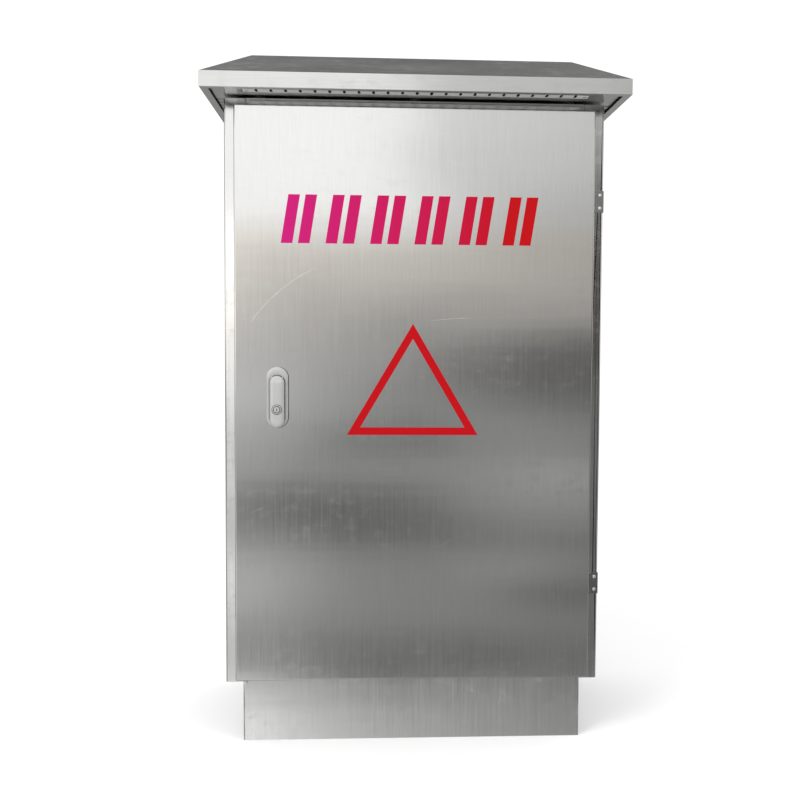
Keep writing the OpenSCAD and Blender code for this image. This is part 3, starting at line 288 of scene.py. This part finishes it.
def moulded(name, colour, roughness, grit=900):
    """Moulded plastic, rubber or paint with a fine texture."""
    made, graph, shader = material(name)
    cloud = graph.noise((25, 25, 25), detail=3)
    fine = graph.noise((grit, grit, grit), detail=2)
    dark = tuple(c * 0.88 for c in colour)
    light = tuple(min(1, c * 1.06) for c in colour)
    graph.feed(shader.inputs["Base Color"],
               graph.mix(graph.span(cloud, 0.3, 0.7), dark, light))
    graph.feed(shader.inputs["Roughness"],
               graph.span(fine, 0.3, 0.7, roughness * 0.9, min(1, roughness * 1.1)))
    graph.feed(shader.inputs["Normal"], graph.bump(fine, 0.00005, 0.5))
    return made


def dull_sheet_with_painted_shade(name, tone):
    """Unpolished sheet. Its level faces keep the sheet's tone, and its faces that look sideways (the
    slot walls and the rivets' sides) are darkened almost to black as painted shade.
    """
    made, graph, shader = material(name)
    lines = graph.noise((9, 500, 500), detail=2)
    facing = graph.axis(graph.add("ShaderNodeNewGeometry").outputs["Normal"], "Z")
    # Painted shade: faces that look sideways are darkened to 3 per cent of the tone.
    painted_wall_shade = graph.span(graph.math("ABSOLUTE", facing), 0.4, 0.6, 0.03, 1)
    shade = graph.math("MULTIPLY", graph.span(lines, 0.3, 0.7, tone * 0.94, tone * 1.05), painted_wall_shade)
    graph.feed(shader.inputs["Base Color"], graph.mix(1.0, shade, (1, 1, 0.98), blend="MULTIPLY"))
    graph.feed(shader.inputs["Roughness"], graph.span(lines, 0.3, 0.7, 0.4, 0.5))
    graph.feed(shader.inputs["Normal"], graph.bump(lines, 0.00002, 0.3))
    shader.inputs["Metallic"].default_value = 0.3
    return made


def galvanised(name):
    """Zinc-coated sheet with its spangle."""
    made, graph, shader = material(name)
    cell = graph.add("ShaderNodeTexVoronoi")
    graph.feed(cell.inputs["Vector"], graph.vector("MULTIPLY", graph.place(), (130, 130, 130)))
    cell.inputs["Scale"].default_value = 1.0
    spangle = graph.axis(cell.outputs["Color"], "X")
    fine = graph.noise((500, 500, 500), detail=2)
    shade = graph.math("MULTIPLY_ADD", fine, 0.08, graph.span(spangle, 0, 1, 0.52, 0.66))
    graph.feed(shader.inputs["Base Color"],
               graph.mix(1.0, shade, (0.97, 0.99, 1.0), blend="MULTIPLY"))
    graph.feed(shader.inputs["Roughness"], graph.span(spangle, 0, 1, 0.34, 0.5))
    graph.feed(shader.inputs["Normal"], graph.bump(fine, 0.00005, 0.3))
    shader.inputs["Metallic"].default_value = 1.0
    return made


def screen_print(name):
    """Red ink on the door, pinker towards the lock side and the top."""
    made, graph, shader = material(name)
    side = graph.axis(graph.place(), "X")
    fine = graph.noise((900, 900, 900), detail=2)
    left = graph.span(side, -0.26, 0.16)
    height = graph.axis(graph.place(), "Z")
    pink = graph.math("MULTIPLY", graph.span(left, 0, 1, 1, 0), graph.span(height, 0.80, 0.92))
    ink = graph.mix(pink, (0.38, 0.0, 0.003), (0.44, 0.008, 0.15))
    graph.feed(shader.inputs["Base Color"],
               graph.mix(graph.span(fine, 0.35, 0.8, 0.0, 0.25), ink, (0.28, 0.001, 0.006)))
    graph.feed(shader.inputs["Roughness"], graph.span(fine, 0.3, 0.7, 0.40, 0.5))
    graph.feed(shader.inputs["Normal"], graph.bump(fine, 0.00002, 0.3))
    shader.inputs["Specular IOR Level"].default_value = 0.12
    return made


# Each is the x and z of a circle's centre, its radius, and where along x the arc starts and ends.
DOOR_SCRATCHES = ((-0.058, 0.618, 0.294, -0.31, -0.18), (0.107, 0.179, 0.616, 0.015, 0.115),
                  (0.211, 0.119, 0.30, 0.04, 0.082), (-0.164, 0.167, 0.30, -0.305, -0.265))

MATERIALS = {
    "body_stainless": brushed_steel("body_steel", 0.66, 0.17, (0, 0, 1), flare=0.09),
    "plinth_stainless": brushed_steel("plinth_steel", 0.66, 0.17, (0, 0, 1)),
    "roof_stainless": brushed_steel("roof_steel", 0.62, 0.17, (1, 0, 0)),
    "door_stainless": brushed_steel("door_steel", 0.66, 0.11, (0, 0, 1), spread=0.55,
                                    scratches=DOOR_SCRATCHES),
    "galvanised": galvanised("galvanised_sheet"),
    "zinc_fixings": plain_metal("zinc_plate", 0.62, 0.34, tint=(1, 0.99, 0.96)),
    "hinge_steel": plain_metal("hinge_metal", 0.30, 0.24, grit=1500),
    "hinge_screws": plain_metal("polished_screws", 0.95, 0.16, grit=1800),
    "lock_satin": satin("lock_metal", 0.46),
    "black_rubber": moulded("rubber", (0.022, 0.022, 0.024), 0.75),
    "grey_plastic": moulded("grey_moulding", (0.30, 0.31, 0.33), 0.5),
    "red_print": screen_print("red_ink"),
    "cream_plastic": moulded("cream_moulding", (0.72, 0.70, 0.62), 0.42),
    "black_plastic": moulded("black_moulding", (0.02, 0.02, 0.022), 0.38),
    "supply_metal": moulded("supply_paint", (0.42, 0.44, 0.45), 0.45, grit=1500),
    "rack_metal": moulded("rack_paint", (0.11, 0.115, 0.125), 0.5, grit=1300),
    "card_panels": moulded("card_front", (0.58, 0.59, 0.60), 0.36, grit=1200),
    "copper": plain_metal("bare_copper", 0.9, 0.28, tint=(0.82, 0.48, 0.30)),
}


def paint_frame():
    """Gives every CAD node the material of its record slot, and gives the vent strip and its rivets
    unpolished sheet with painted shade on their sideways faces.
    """
    for node in NODES.values():
        for place in node.material_slots:
            place.material = MATERIALS[place.material.name]
    matt_painted_shade = dull_sheet_with_painted_shade("soffit_sheet", 0.62)
    for name in ("vent_strip", "vent_rivets"):
        NODES[name].material_slots[0].material = matt_painted_shade


# ---- pieces, in millimetres until they are made ----

# Clamp screws: their spacing, and how far from a device's back, face and middle they lie.
POLE_PITCH = 18
CLAMP_DEPTH = 52.4
CLAMP_RISE = 33
SUPPLY_PITCH = 13
SUPPLY_SINK = 26
SUPPLY_RISE = 51
TERMINAL_SINK = 4.5
TERMINAL_RISE = 9
EARTH_PITCH = 20
EARTH_PROUD = 1.4
# Lamps: on each driver card in a column, and on the processor card in a row.
LAMP_RADIUS = 2.6
LAMP_COLOURS = {"red": (0.60, 0.006, 0.004), "amber": (0.72, 0.25, 0.004),
                "green": (0.01, 0.42, 0.05)}
CARD_FACE = 13.6
CARD_LAMP_SIDE = 27.3
CARD_LAMP_DROP = 38.1
CARD_LAMP_PITCH = 20
ROW_PITCH = 14
ROW_HEIGHT = 634
DISPLAY_HALF = 31.6
DISPLAY_FOOT = 688.4
DISPLAY_TOP = 729.6
# The door frame's opening, and the heights its head and foot joints run between.
FRAME_OPENING_HALF = 310
FRAME_HEAD = (1177.5, 1191.5)
FRAME_FOOT = (112.5, 119.5)


def skin(shape, loops):
    """Quads from each loop of points to the next, with a face over each end."""
    rows = [[shape.verts.new(point) for point in loop] for loop in loops]
    count = len(rows[0])
    for row, following in zip(rows, rows[1:]):
        for k in range(count):
            shape.faces.new((row[k], row[(k + 1) % count], following[(k + 1) % count], following[k]))
    shape.faces.new(rows[0][::-1])
    shape.faces.new(rows[-1])


def circle(radius):
    """An outline: the radius at each angle."""
    return lambda angle: radius


def slot_outline(half_width, half_length):
    """The outline of a screwdriver slot."""
    return lambda angle: min(half_width / max(abs(cos(angle)), 1e-6),
                             half_length / max(abs(sin(angle)), 1e-6))


def cross_outline(half_width, radius):
    """The outline of a cross recess."""
    return lambda angle: min(radius, half_width / max(min(abs(cos(angle)), abs(sin(angle))), 1e-6))


def turned(shape, centre, axis, rings, count=32):
    """Skins rings of (outline, height) about an axis. An outline gives its radius by angle."""
    turn = Vector(axis).to_track_quat("Z", "Y").to_matrix()
    centre = Vector(centre)
    angles = [tau * k / count for k in range(count)]
    skin(shape, [[centre + turn @ Vector((outline(a) * cos(a), outline(a) * sin(a), height))
                  for a in angles] for outline, height in rings])


def box(shape, low, high, edge=0.6):
    """A box with softened edges along its depth."""
    (x0, y0, z0), (x1, y1, z1) = low, high

    def loop(y, inset):
        near, far = inset, inset + edge
        return [(x0 + near, y, z0 + far), (x0 + far, y, z0 + near), (x1 - far, y, z0 + near),
                (x1 - near, y, z0 + far), (x1 - near, y, z1 - far), (x1 - far, y, z1 - near),
                (x0 + far, y, z1 - near), (x0 + near, y, z1 - far)]

    skin(shape, [loop(y0, edge), loop(y0 + edge, 0), loop(y1 - edge, 0), loop(y1, edge)])


def bar_ring(x, width, low, high, y, inset=0.0):
    """An upright bar with round ends, seen from the front, as a loop of points."""
    turns, steps = 14, 16
    radius = width / 2 - inset
    top, foot = high - width / 2, low + width / 2
    ring = [(x + radius * cos(a), top + radius * sin(a))
            for a in (tau / 2 * k / turns for k in range(turns + 1))]
    ring += [(x - radius, top + (foot - top) * k / steps) for k in range(1, steps)]
    ring += [(x - radius * cos(a), foot - radius * sin(a))
             for a in (tau / 2 * k / turns for k in range(turns + 1))]
    ring += [(x + radius, foot + (top - foot) * k / steps) for k in range(1, steps)]
    return [Vector((px, y, pz)) for px, pz in ring]


def make(name, shape, body, finish, stands_for=()):
    """Turns a shape into a piece with a finish, riding on a body."""
    bmesh.ops.recalc_face_normals(shape, faces=shape.faces)
    shape.transform(Matrix.Scale(MM, 4))
    mesh = bpy.data.meshes.new(name)
    shape.to_mesh(mesh)
    shape.free()
    mesh.polygons.foreach_set("use_smooth", [True] * len(mesh.polygons))
    mesh.set_sharp_from_angle(angle=radians(38))
    mesh.materials.append(finish)
    piece = bpy.data.objects.new(name, mesh)
    bpy.context.scene.collection.objects.link(piece)
    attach(piece, body)
    if stands_for:
        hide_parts(*stands_for)


def solids(node):
    """The box of each separate solid of a CAD node, in millimetres."""
    mesh = bmesh.new()
    mesh.from_mesh(NODES[node].data)
    bmesh.ops.remove_doubles(mesh, verts=mesh.verts, dist=1e-6)
    boxes, seen = [], set()
    for start in mesh.verts:
        if start in seen:
            continue
        seen.add(start)
        found, waiting = [], [start]
        while waiting:
            vert = waiting.pop()
            found.append(vert.co / MM)
            for edge in vert.link_edges:
                other = edge.other_vert(vert)
                if other not in seen:
                    seen.add(other)
                    waiting.append(other)
        boxes.append((Vector(map(min, zip(*found))), Vector(map(max, zip(*found)))))
    mesh.free()
    return boxes


def screw(shape, top, axis, radius, head, length, recess, depth):
    """A pan-head screw whose head has its middle at `top`, facing along the axis."""
    shank = radius * 0.5
    turned(shape, top, axis, [
        (circle(shank * 0.7), -length), (circle(shank), -length + 0.6), (circle(shank), -head),
        (circle(radius * 0.97), -head), (circle(radius), -head * 0.8), (circle(radius), -head * 0.55),
        (circle(radius * 0.93), -head * 0.28), (circle(radius * 0.8), -head * 0.1),
        (circle(radius * 0.66), -head * 0.02), (circle(radius * 0.6), 0),
        (recess, -0.02), (recess, -depth)])


def stand_in_screws(node, body, finish, axis, head, name):
    """Screws with recessed heads in the places of a node's solids."""
    shape = bmesh.new()
    axis = Vector(axis)
    for low, high in solids(node):
        middle, size = (low + high) / 2, high - low
        length = abs(size.dot(axis))
        radius = (sum(size) - length) / 4
        screw(shape, middle + axis * length / 2, axis, radius, head, length,
              cross_outline(radius * 0.13, radius * 0.5), head * 0.62)
    make(name, shape, body, MATERIALS[finish], [node])


def plate_screws():
    """The screws of the mounting plate face the door, and those of the gland plate face up."""
    shape = bmesh.new()
    for low, high in solids("machine_screws"):
        middle, size = (low + high) / 2, high - low
        up = size.z > 10
        axis = Vector((0, 0, 1)) if up else Vector((0, -1, 0))
        length = size.z if up else size.y
        radius = size.x / 2
        screw(shape, middle + axis * length / 2, axis, radius, 2.6, length,
              cross_outline(radius * 0.13, radius * 0.5), 1.6)
    make("plate_screws", shape, "cabinet", MATERIALS["zinc_fixings"],
         ["machine_screws"])


def lock_plate_pieces():
    """The flush lock's softly domed plate, with the well its lever lies in, and a black seal behind it.
    The seal is set off to the right, so that its edge shows as a painted shadow along the plate's right
    side.
    """
    low, high = (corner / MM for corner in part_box("lock_plate"))
    grip_low, grip_high = (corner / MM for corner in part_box("lock_handle"))
    clamp_low, clamp_high = (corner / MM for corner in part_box("lock_clamp"))
    middle = (low.x + high.x) / 2
    width, face, door = high.x - low.x, low.y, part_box("door_panel")[0].y / MM
    well_width = grip_high.x - grip_low.x + 2.2

    def plate(y, inset=0.0):
        return bar_ring(middle, width, low.z, high.z, y, inset)

    def well(y, inset=0.0):
        return bar_ring(middle, well_width, low.z + 4, grip_high.z + 1.1, y, inset)

    def between(share, y):
        return [Vector((*(a.lerp(b, share)).xz, 0)).xzy + Vector((0, y, 0))
                for a, b in zip(plate(0), well(0))]

    shape = bmesh.new()
    skin(shape, [plate(door), plate(face + 1.9), plate(face + 1.2, 0.25), plate(face + 0.65, 0.8),
                 plate(face + 0.25, 1.7), between(0.42, face + 0.02), between(0.8, face),
                 well(face + 0.25), well(face + 1.9, 0.2), well(face + 1.9, 1.3), well(face + 0.9, 1.5)])
    half_body = (clamp_high.x - clamp_low.x) / 2 - 10.2
    box(shape, (middle - half_body, door, clamp_low.z - 18), (middle + half_body, high.y, high.z - 12))
    make("lock_escutcheon", shape, "door", MATERIALS["lock_satin"], ["lock_plate"])

    shape = bmesh.new()
    # The seal peeps out on the right only, as a painted shadow beside the plate's right edge.
    painted_shadow_offset = Vector((1.1, 0, -0.1))
    skin(shape, [[point + painted_shadow_offset for point in plate(door + y, inset)]
                 for y, inset in ((0, 0), (-0.9, 0), (-1.3, 0.3))])
    make("lock_seal_painted_shadow", shape, "door", MATERIALS["black_rubber"])


def lock_lever():
    """The lever: a bar with a crowned face, a rounded heel at its pivot and a sloping nose."""
    low, high = (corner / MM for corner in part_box("lock_handle"))
    middle, width = (low.x + high.x) / 2, high.x - low.x
    heel, ramp, nose = 4.0, 9.0, 4.0
    heel_z, heel_y, nose_z = high.z - heel, high.y - heel, low.z + nose
    crown = ((0, 0.35), (-0.5, 0), (-5.6, 0.05), (-7.2, 0.5), (-8.3, 1.3), (-9.0, 2.6),
             (-9.35, 4.4), (-9.5, 6.6), (-9.5, 9.4), (-9.5, 12.0))
    loops = []
    for y, inset in crown:
        loop = bar_ring(middle, width, low.z, high.z, high.y + y, inset)
        for point in loop:
            limit = low.y
            if point.z > heel_z:
                limit = heel_y - sqrt(max(heel * heel - (point.z - heel_z) ** 2, 0))
            elif point.z > heel_z - ramp:
                limit += 1.5 * (point.z - heel_z + ramp) / ramp
            elif point.z < nose_z:
                limit += 3 * (nose_z - point.z) / nose
            point.y = min(max(point.y, limit), high.y)
        loops.append(loop)
    shape = bmesh.new()
    skin(shape, loops)
    make("lock_lever_grip", shape, "lock_lever", MATERIALS["lock_satin"],
         ["lock_handle"])


def lock_button_pieces():
    """The ringed release button with its key slot, and the dark seat around it in the lever."""
    low, high = (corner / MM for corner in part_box("lock_button"))
    lever_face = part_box("lock_handle")[0].y / MM
    x, z = (low.x + high.x) / 2, (low.z + high.z) / 2
    radius = (high.x - low.x) / 2
    slot = slot_outline(0.8, 2.4)
    shape = bmesh.new()
    turned(shape, (x, low.y, z), (0, -1, 0), [
        (circle(radius), low.y - high.y), (circle(radius), -0.9), (circle(radius - 0.3), -0.35),
        (circle(radius - 0.8), 0), (circle(radius - 1.6), 0), (circle(radius - 2.0), -0.4),
        (circle(radius - 2.1), -1.8), (circle(radius - 3.1), -1.8), (circle(radius - 3.3), -0.5),
        (circle(radius - 3.8), -0.12), (circle(radius - 4.6), 0), (slot, -0.05), (slot, -1.6)], 40)
    make("lock_button_cap", shape, "lock_release", MATERIALS["lock_satin"],
         ["lock_button"])
    shape = bmesh.new()
    turned(shape, (x, lever_face, z), (0, -1, 0),
           [(circle(radius + 0.9), -0.5), (circle(radius + 0.9), 0.05), (circle(radius + 0.5), 0.1)], 40)
    make("lock_button_seat", shape, "lock_lever", MATERIALS["black_rubber"])


def sunk_screws(name, places, radius, finish):
    """Slotted clamp screws down in their holes, each at (x, y, z), facing the door."""
    shape = bmesh.new()
    for x, y, z in places:
        screw(shape, (x, y, z), (0, -1, 0), radius, 1.4, 4, slot_outline(0.45, radius * 0.8), 0.8)
    make(name, shape, "cabinet", finish)


def lamp(name, colour, glow):
    """A lit lens or display."""
    made, graph, shader = material(name)
    tone = graph.span(graph.noise((700, 700, 700)), 0.3, 0.7, 0.85, 1.1)
    graph.feed(shader.inputs["Base Color"], graph.mix(1.0, (*colour, 1), tone, blend="MULTIPLY"))
    shader.inputs["Roughness"].default_value = 0.3
    shader.inputs["Emission Color"].default_value = (*colour, 1)
    shader.inputs["Emission Strength"].default_value = glow
    return made


def lamps(name, places, finish):
    """Small domed indicator lamps, each at (x, y of its front, z)."""
    shape = bmesh.new()
    for place in places:
        turned(shape, place, (0, -1, 0), [
            (circle(LAMP_RADIUS), -2.6), (circle(LAMP_RADIUS), -1.0),
            (circle(LAMP_RADIUS * 0.93), -0.55), (circle(LAMP_RADIUS * 0.75), -0.22),
            (circle(LAMP_RADIUS * 0.45), -0.05), (circle(LAMP_RADIUS * 0.1), 0)], 20)
    make(name, shape, "cabinet", finish)


def gear_screws():
    """Clamp screws in the breakers and the supply, and brass ones in the terminals and earth bar."""
    brass = plain_metal("brass", 0.8, 0.3, tint=(0.95, 0.78, 0.45))
    places = []
    for node in ("main_breaker", "branch_breakers", "surge_arrester"):
        for low, high in solids(node):
            poles = round((high.x - low.x) / POLE_PITCH)
            middle = (low + high) / 2
            places += [(middle.x + (i - (poles - 1) / 2) * POLE_PITCH, high.y - CLAMP_DEPTH,
                        middle.z + s * CLAMP_RISE) for i in range(poles) for s in (-1, 1)]
    low, high = (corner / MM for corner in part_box("power_supply"))
    places += [((low.x + high.x) / 2 + (i - 2) * SUPPLY_PITCH, low.y + SUPPLY_SINK,
                (low.z + high.z) / 2 + s * SUPPLY_RISE) for i in range(5) for s in (-1, 1)]
    sunk_screws("clamp_screws", places, 2.7, MATERIALS["zinc_fixings"])
    places = [((low.x + high.x) / 2, low.y + TERMINAL_SINK, (low.z + high.z) / 2 + s * TERMINAL_RISE)
              for low, high in solids("terminal_blocks") for s in (-1, 1)]
    sunk_screws("terminal_screws", places, 2.3, brass)
    low, high = (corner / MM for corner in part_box("earth_bar"))
    places = [(EARTH_PITCH * i, low.y - EARTH_PROUD, (low.z + high.z) / 2) for i in range(-4, 5)]
    sunk_screws("earth_screws", places, 4.2, brass)


def indicator_lamps():
    """Two red, amber and green sets on each driver card, and a row of five on the processor card."""
    places = {colour: [] for colour in LAMP_COLOURS}
    for low, high in solids("driver_cards"):
        for row, colour in enumerate(2 * list(LAMP_COLOURS)):
            places[colour].append((low.x + CARD_LAMP_SIDE, low.y + CARD_FACE,
                                   high.z - CARD_LAMP_DROP - CARD_LAMP_PITCH * row))
    low, high = (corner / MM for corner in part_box("processor_card"))
    middle = low.x + (high.x - low.x) / 2
    for i, colour in zip(range(-2, 3), ("green", "green", "amber", "amber", "red")):
        places[colour].append((middle + i * ROW_PITCH, low.y + CARD_FACE, ROW_HEIGHT))
    for colour, tone in LAMP_COLOURS.items():
        lamps(f"{colour}_lamps", places[colour], lamp(f"{colour}_lens", tone, 0.55))


def display():
    """The processor card's window, lit by four rows of plain bars."""
    low, high = (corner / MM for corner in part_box("processor_card"))
    middle = low.x + (high.x - low.x) / 2
    glass = lamp("display_glass", (0.03, 0.09, 0.05), 0.25)
    shape = bmesh.new()
    box(shape, (middle - DISPLAY_HALF, low.y + 12.0, DISPLAY_FOOT),
        (middle + DISPLAY_HALF, low.y + 12.6, DISPLAY_TOP), 0.2)
    make("display_panel", shape, "cabinet", glass)
    shape = bmesh.new()
    for row in range(4):
        for column in range(9 - 2 * (row % 2)):
            x, z = middle - 26 + 6 * column, DISPLAY_TOP - 9.6 - 8.5 * row
            box(shape, (x, low.y + 11.7, z - 2), (x + 3.4, low.y + 12.1, z + 2), 0.1)
    make("display_bars", shape, "cabinet", lamp("display_light", (0.35, 0.9, 0.30), 0.9))


def frame_joints():
    """The butt joints where the frame's head and foot meet its sides."""
    shape = bmesh.new()
    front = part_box("top_plate")[0].y / MM
    for x in (-FRAME_OPENING_HALF, FRAME_OPENING_HALF):
        for foot, top in (FRAME_HEAD, FRAME_FOOT):
            box(shape, (x - 0.35, front - 0.08, foot), (x + 0.35, front + 0.6, top), 0.05)
    make("frame_joints", shape, "cabinet", MATERIALS["black_rubber"])


def edge_softening():
    """Rounds the folded edges of the big sheet parts."""
    for node, width in (("door_panel", 1.2), ("roof_canopy", 1.0), ("body_shell", 0.9),
                        ("plinth", 0.9), ("document_pocket", 0.8), ("power_supply", 0.8),
                        ("main_breaker", 0.6), ("branch_breakers", 0.6), ("surge_arrester", 0.6),
                        ("controller_rack", 0.5)):
        weld = NODES[node].modifiers.new("weld", "WELD")
        weld.merge_threshold = 0.00001
        bevel = NODES[node].modifiers.new("soft_edges", "BEVEL")
        bevel.width = width * MM
        bevel.segments = 2
        bevel.limit_method = "ANGLE"
        bevel.angle_limit = radians(50)
        bevel.harden_normals = True


# ---- surroundings ----

FLOOR_SIZE = 14.0
LIGHT_AIM = (0, 0, 0.6)
# White a little above 1, so that the floor's far edge doesn't show.
SURROUND = (1.07, 1.07, 1.07)

# What glossy surfaces see ahead of the cabinet, as brightness by the sine of the elevation: darker
# ground, the horizon and a pale sky.
GROUND_TO_SKY = [(-1.0, 0.62), (-0.85, 0.34), (-0.7, 0.46), (-0.57, 0.26), (-0.46, 0.48),
                 (-0.37, 0.56), (-0.325, 0.42), (-0.30, 0.22), (-0.283, 0.24),
                 (-0.25, 0.34), (-0.215, 0.32), (-0.175, 0.22), (-0.145, 0.24), (-0.124, 0.37),
                 (-0.105, 0.26), (-0.085, 0.32), (-0.05, 0.41), (-0.01, 0.46), (0.02, 0.56),
                 (0.045, 0.70), (0.07, 0.78), (0.11, 0.84), (0.2, 0.92), (0.24, 1.0), (1.0, 0.9)]
# How much brighter it is to the left, by the sine of the sideways angle.
SIDE_LEAN = [(-1.0, 1.0), (-0.6, 1.25), (-0.35, 1.7), (-0.15, 1.55), (-0.11, 1.42), (-0.04, 1.1),
             (0.03, 0.97), (0.12, 0.92), (0.2, 0.87), (0.33, 0.55), (0.5, 0.6), (0.75, 1.0), (1.0, 1.3)]
# Soft shapes in that view: sideways, up, half width, half height, how much they brighten.
SHAPES = [(0.20, -0.035, 0.18, 0.06, 0.38), (0.10, -0.03, 0.08, 0.02, 0.75),
          (-0.02, -0.165, 0.12, 0.04, 0.66), (0.18, -0.15, 0.15, 0.04, 1.75),
          (0.03, -0.122, 0.08, 0.014, 1.2), (-0.12, -0.22, 0.10, 0.045, 1.3),
          (0.19, -0.235, 0.10, 0.014, 0.5), (0.07, -0.295, 0.16, 0.022, 0.8),
          (-0.16, -0.35, 0.11, 0.06, 2.5), (0.03, 0.012, 0.06, 0.018, 0.78),
          (-0.10, -0.075, 0.12, 0.055, 1.3), (0.2, 0.09, 0.14, 0.06, 0.86),
          (0.12, 0.035, 0.10, 0.012, 0.86), (0.0, -0.052, 0.10, 0.012, 0.85),
          (-0.10, 0.055, 0.10, 0.05, 0.78), (0.01, -0.10, 0.08, 0.02, 0.78),
          (-0.06, -0.15, 0.07, 0.03, 0.74), (0.13, -0.212, 0.09, 0.022, 1.3),
          (0.17, -0.09, 0.12, 0.045, 1.35), (0.01, -0.35, 0.09, 0.06, 0.82),
          (-0.34, -0.12, 0.16, 0.34, 2.5), (0.49, 0.07, 0.28, 0.17, 0.02),
          (0.2, -0.345, 0.09, 0.04, 0.7)]
# The bright area at the upper left of that view: its lower edge, its right edge and its light.
CARD_FOOT = 0.107
CARD_SIDE = 0.062
CARD_LIGHT = 1.36
# The view behind the cabinet, by elevation and by sideways angle.
BEHIND = [(-1.0, 0.5), (-0.8, 0.3), (-0.65, 0.42), (-0.5, 0.62), (-0.38, 0.36), (-0.27, 0.22),
          (-0.17, 0.40), (-0.10, 0.24), (-0.02, 0.42), (0.04, 0.72), (0.11, 0.58), (0.3, 0.19),
          (0.55, 0.14), (0.8, 0.5), (1.0, 0.9)]
BEHIND_SIDES = [(-1.0, 1.0), (-0.7, 0.7), (-0.45, 1.35), (-0.2, 1.0), (0.0, 0.95), (0.2, 1.05),
                (0.45, 1.4), (0.7, 0.65), (1.0, 1.0)]


def make_world():
    """White around the cabinet, and for reflections a pale sky over darker ground."""
    world = bpy.data.worlds.new("studio")
    bpy.context.scene.world = world
    world.use_nodes = True
    graph = Graph(world.node_tree)
    direction = graph.add("ShaderNodeTexCoord").outputs["Generated"]
    up = graph.axis(direction, "Z")
    side = graph.axis(direction, "X")
    depth = graph.axis(direction, "Y")
    ahead = graph.mix(1.0, graph.profile(up, -1, 1, GROUND_TO_SKY),
                      graph.profile(side, -1, 1, SIDE_LEAN), blend="MULTIPLY")
    for x, z, width, height, factor in SHAPES:
        across = graph.math("DIVIDE", graph.math("SUBTRACT", side, x), width)
        along = graph.math("DIVIDE", graph.math("SUBTRACT", up, z), height)
        reach = graph.math("ADD", graph.math("MULTIPLY", across, across),
                           graph.math("MULTIPLY", along, along))
        share = graph.span(reach, 0, 1, factor, 1, smooth=True)
        ahead = graph.mix(1.0, ahead, share, blend="MULTIPLY")
    ragged = graph.noise((9, 9, 22), detail=3, place=direction)
    edge = graph.math("MULTIPLY_ADD", graph.math("SUBTRACT", ragged, 0.5), 0.12, side)
    edge = graph.math("MULTIPLY_ADD", graph.span(up, 0.11, 0.17), 0.022, edge)
    foot = graph.math("MULTIPLY_ADD", graph.math("SUBTRACT", ragged, 0.5), 0.02, up)
    card = graph.math("MULTIPLY", graph.span(foot, CARD_FOOT - 0.004, CARD_FOOT + 0.004, smooth=True),
                      graph.span(edge, CARD_SIDE + 0.01, CARD_SIDE - 0.01, smooth=True))
    ahead = graph.mix(card, ahead, (CARD_LIGHT,) * 3)
    warm = graph.profile(up, -0.2, 0.3, [(-0.06, (1, 1, 1)), (0.03, (1, 0.965, 0.92)),
                                         (0.095, (1, 0.93, 0.85)), (0.108, (1, 1, 1))])
    ahead = graph.mix(1.0, ahead, warm, blend="MULTIPLY")
    behind = graph.mix(1.0, graph.profile(up, -1, 1, BEHIND),
                       graph.profile(side, -1, 1, BEHIND_SIDES), blend="MULTIPLY")
    tone = graph.mix(graph.span(depth, -0.2, 0.2), ahead, behind)
    rays = graph.add("ShaderNodeLightPath")
    colour = graph.mix(rays.outputs["Is Glossy Ray"], SURROUND, tone)
    shader = graph.add("ShaderNodeBackground")
    graph.feed(shader.inputs["Color"], colour)
    output = graph.add("ShaderNodeOutputWorld")
    graph.feed(output.inputs["Surface"], shader.outputs[0])


def area_light(name, place, size, power):
    """A soft light turned to the middle of the cabinet, which reflections don't show."""
    data = bpy.data.lights.new(name, "AREA")
    data.shape = "RECTANGLE"
    data.size, data.size_y = size
    data.energy = power
    light = bpy.data.objects.new(name, data)
    light.location = place
    light.rotation_euler = (Vector(LIGHT_AIM) - Vector(place)).to_track_quat("-Z", "Y").to_euler()
    light.visible_glossy = False
    bpy.context.scene.collection.objects.link(light)


def make_floor():
    """A plain pale floor, which reflections don't show."""
    mesh = bpy.data.meshes.new("floor")
    half = FLOOR_SIZE / 2
    mesh.from_pydata([(-half, -half, 0), (half, -half, 0), (half, half, 0), (-half, half, 0)],
                     [], [(0, 1, 2, 3)])
    floor = bpy.data.objects.new("floor", mesh)
    bpy.context.scene.collection.objects.link(floor)
    made, graph, shader = material("pale_floor")
    graph.feed(shader.inputs["Base Color"],
               graph.mix(graph.noise((4, 4, 4)), (0.95, 0.95, 0.95), (0.97, 0.97, 0.97)))
    shader.inputs["Roughness"].default_value = 0.9
    mesh.materials.append(made)
    floor.visible_glossy = False


make_camera()
make_world()
make_floor()
area_light("key", (-2.2, -2.4, 2.6), (1.8, 1.8), 60)
area_light("fill", (2.4, -2.0, 1.8), (1.6, 1.6), 20)
bpy.context.scene.view_settings.view_transform = "Standard"
paint_frame()
lock_plate_pieces()
lock_lever()
lock_button_pieces()
stand_in_screws("frame_hinge_screws", "cabinet", "hinge_screws", (0, -1, 0), 1.7,
                "frame_leaf_screws")
stand_in_screws("door_hinge_screws", "door", "hinge_screws", (1, 0, 0), 1.7,
                "door_leaf_screws")
plate_screws()
gear_screws()
indicator_lamps()
display()
frame_joints()
edge_softening()
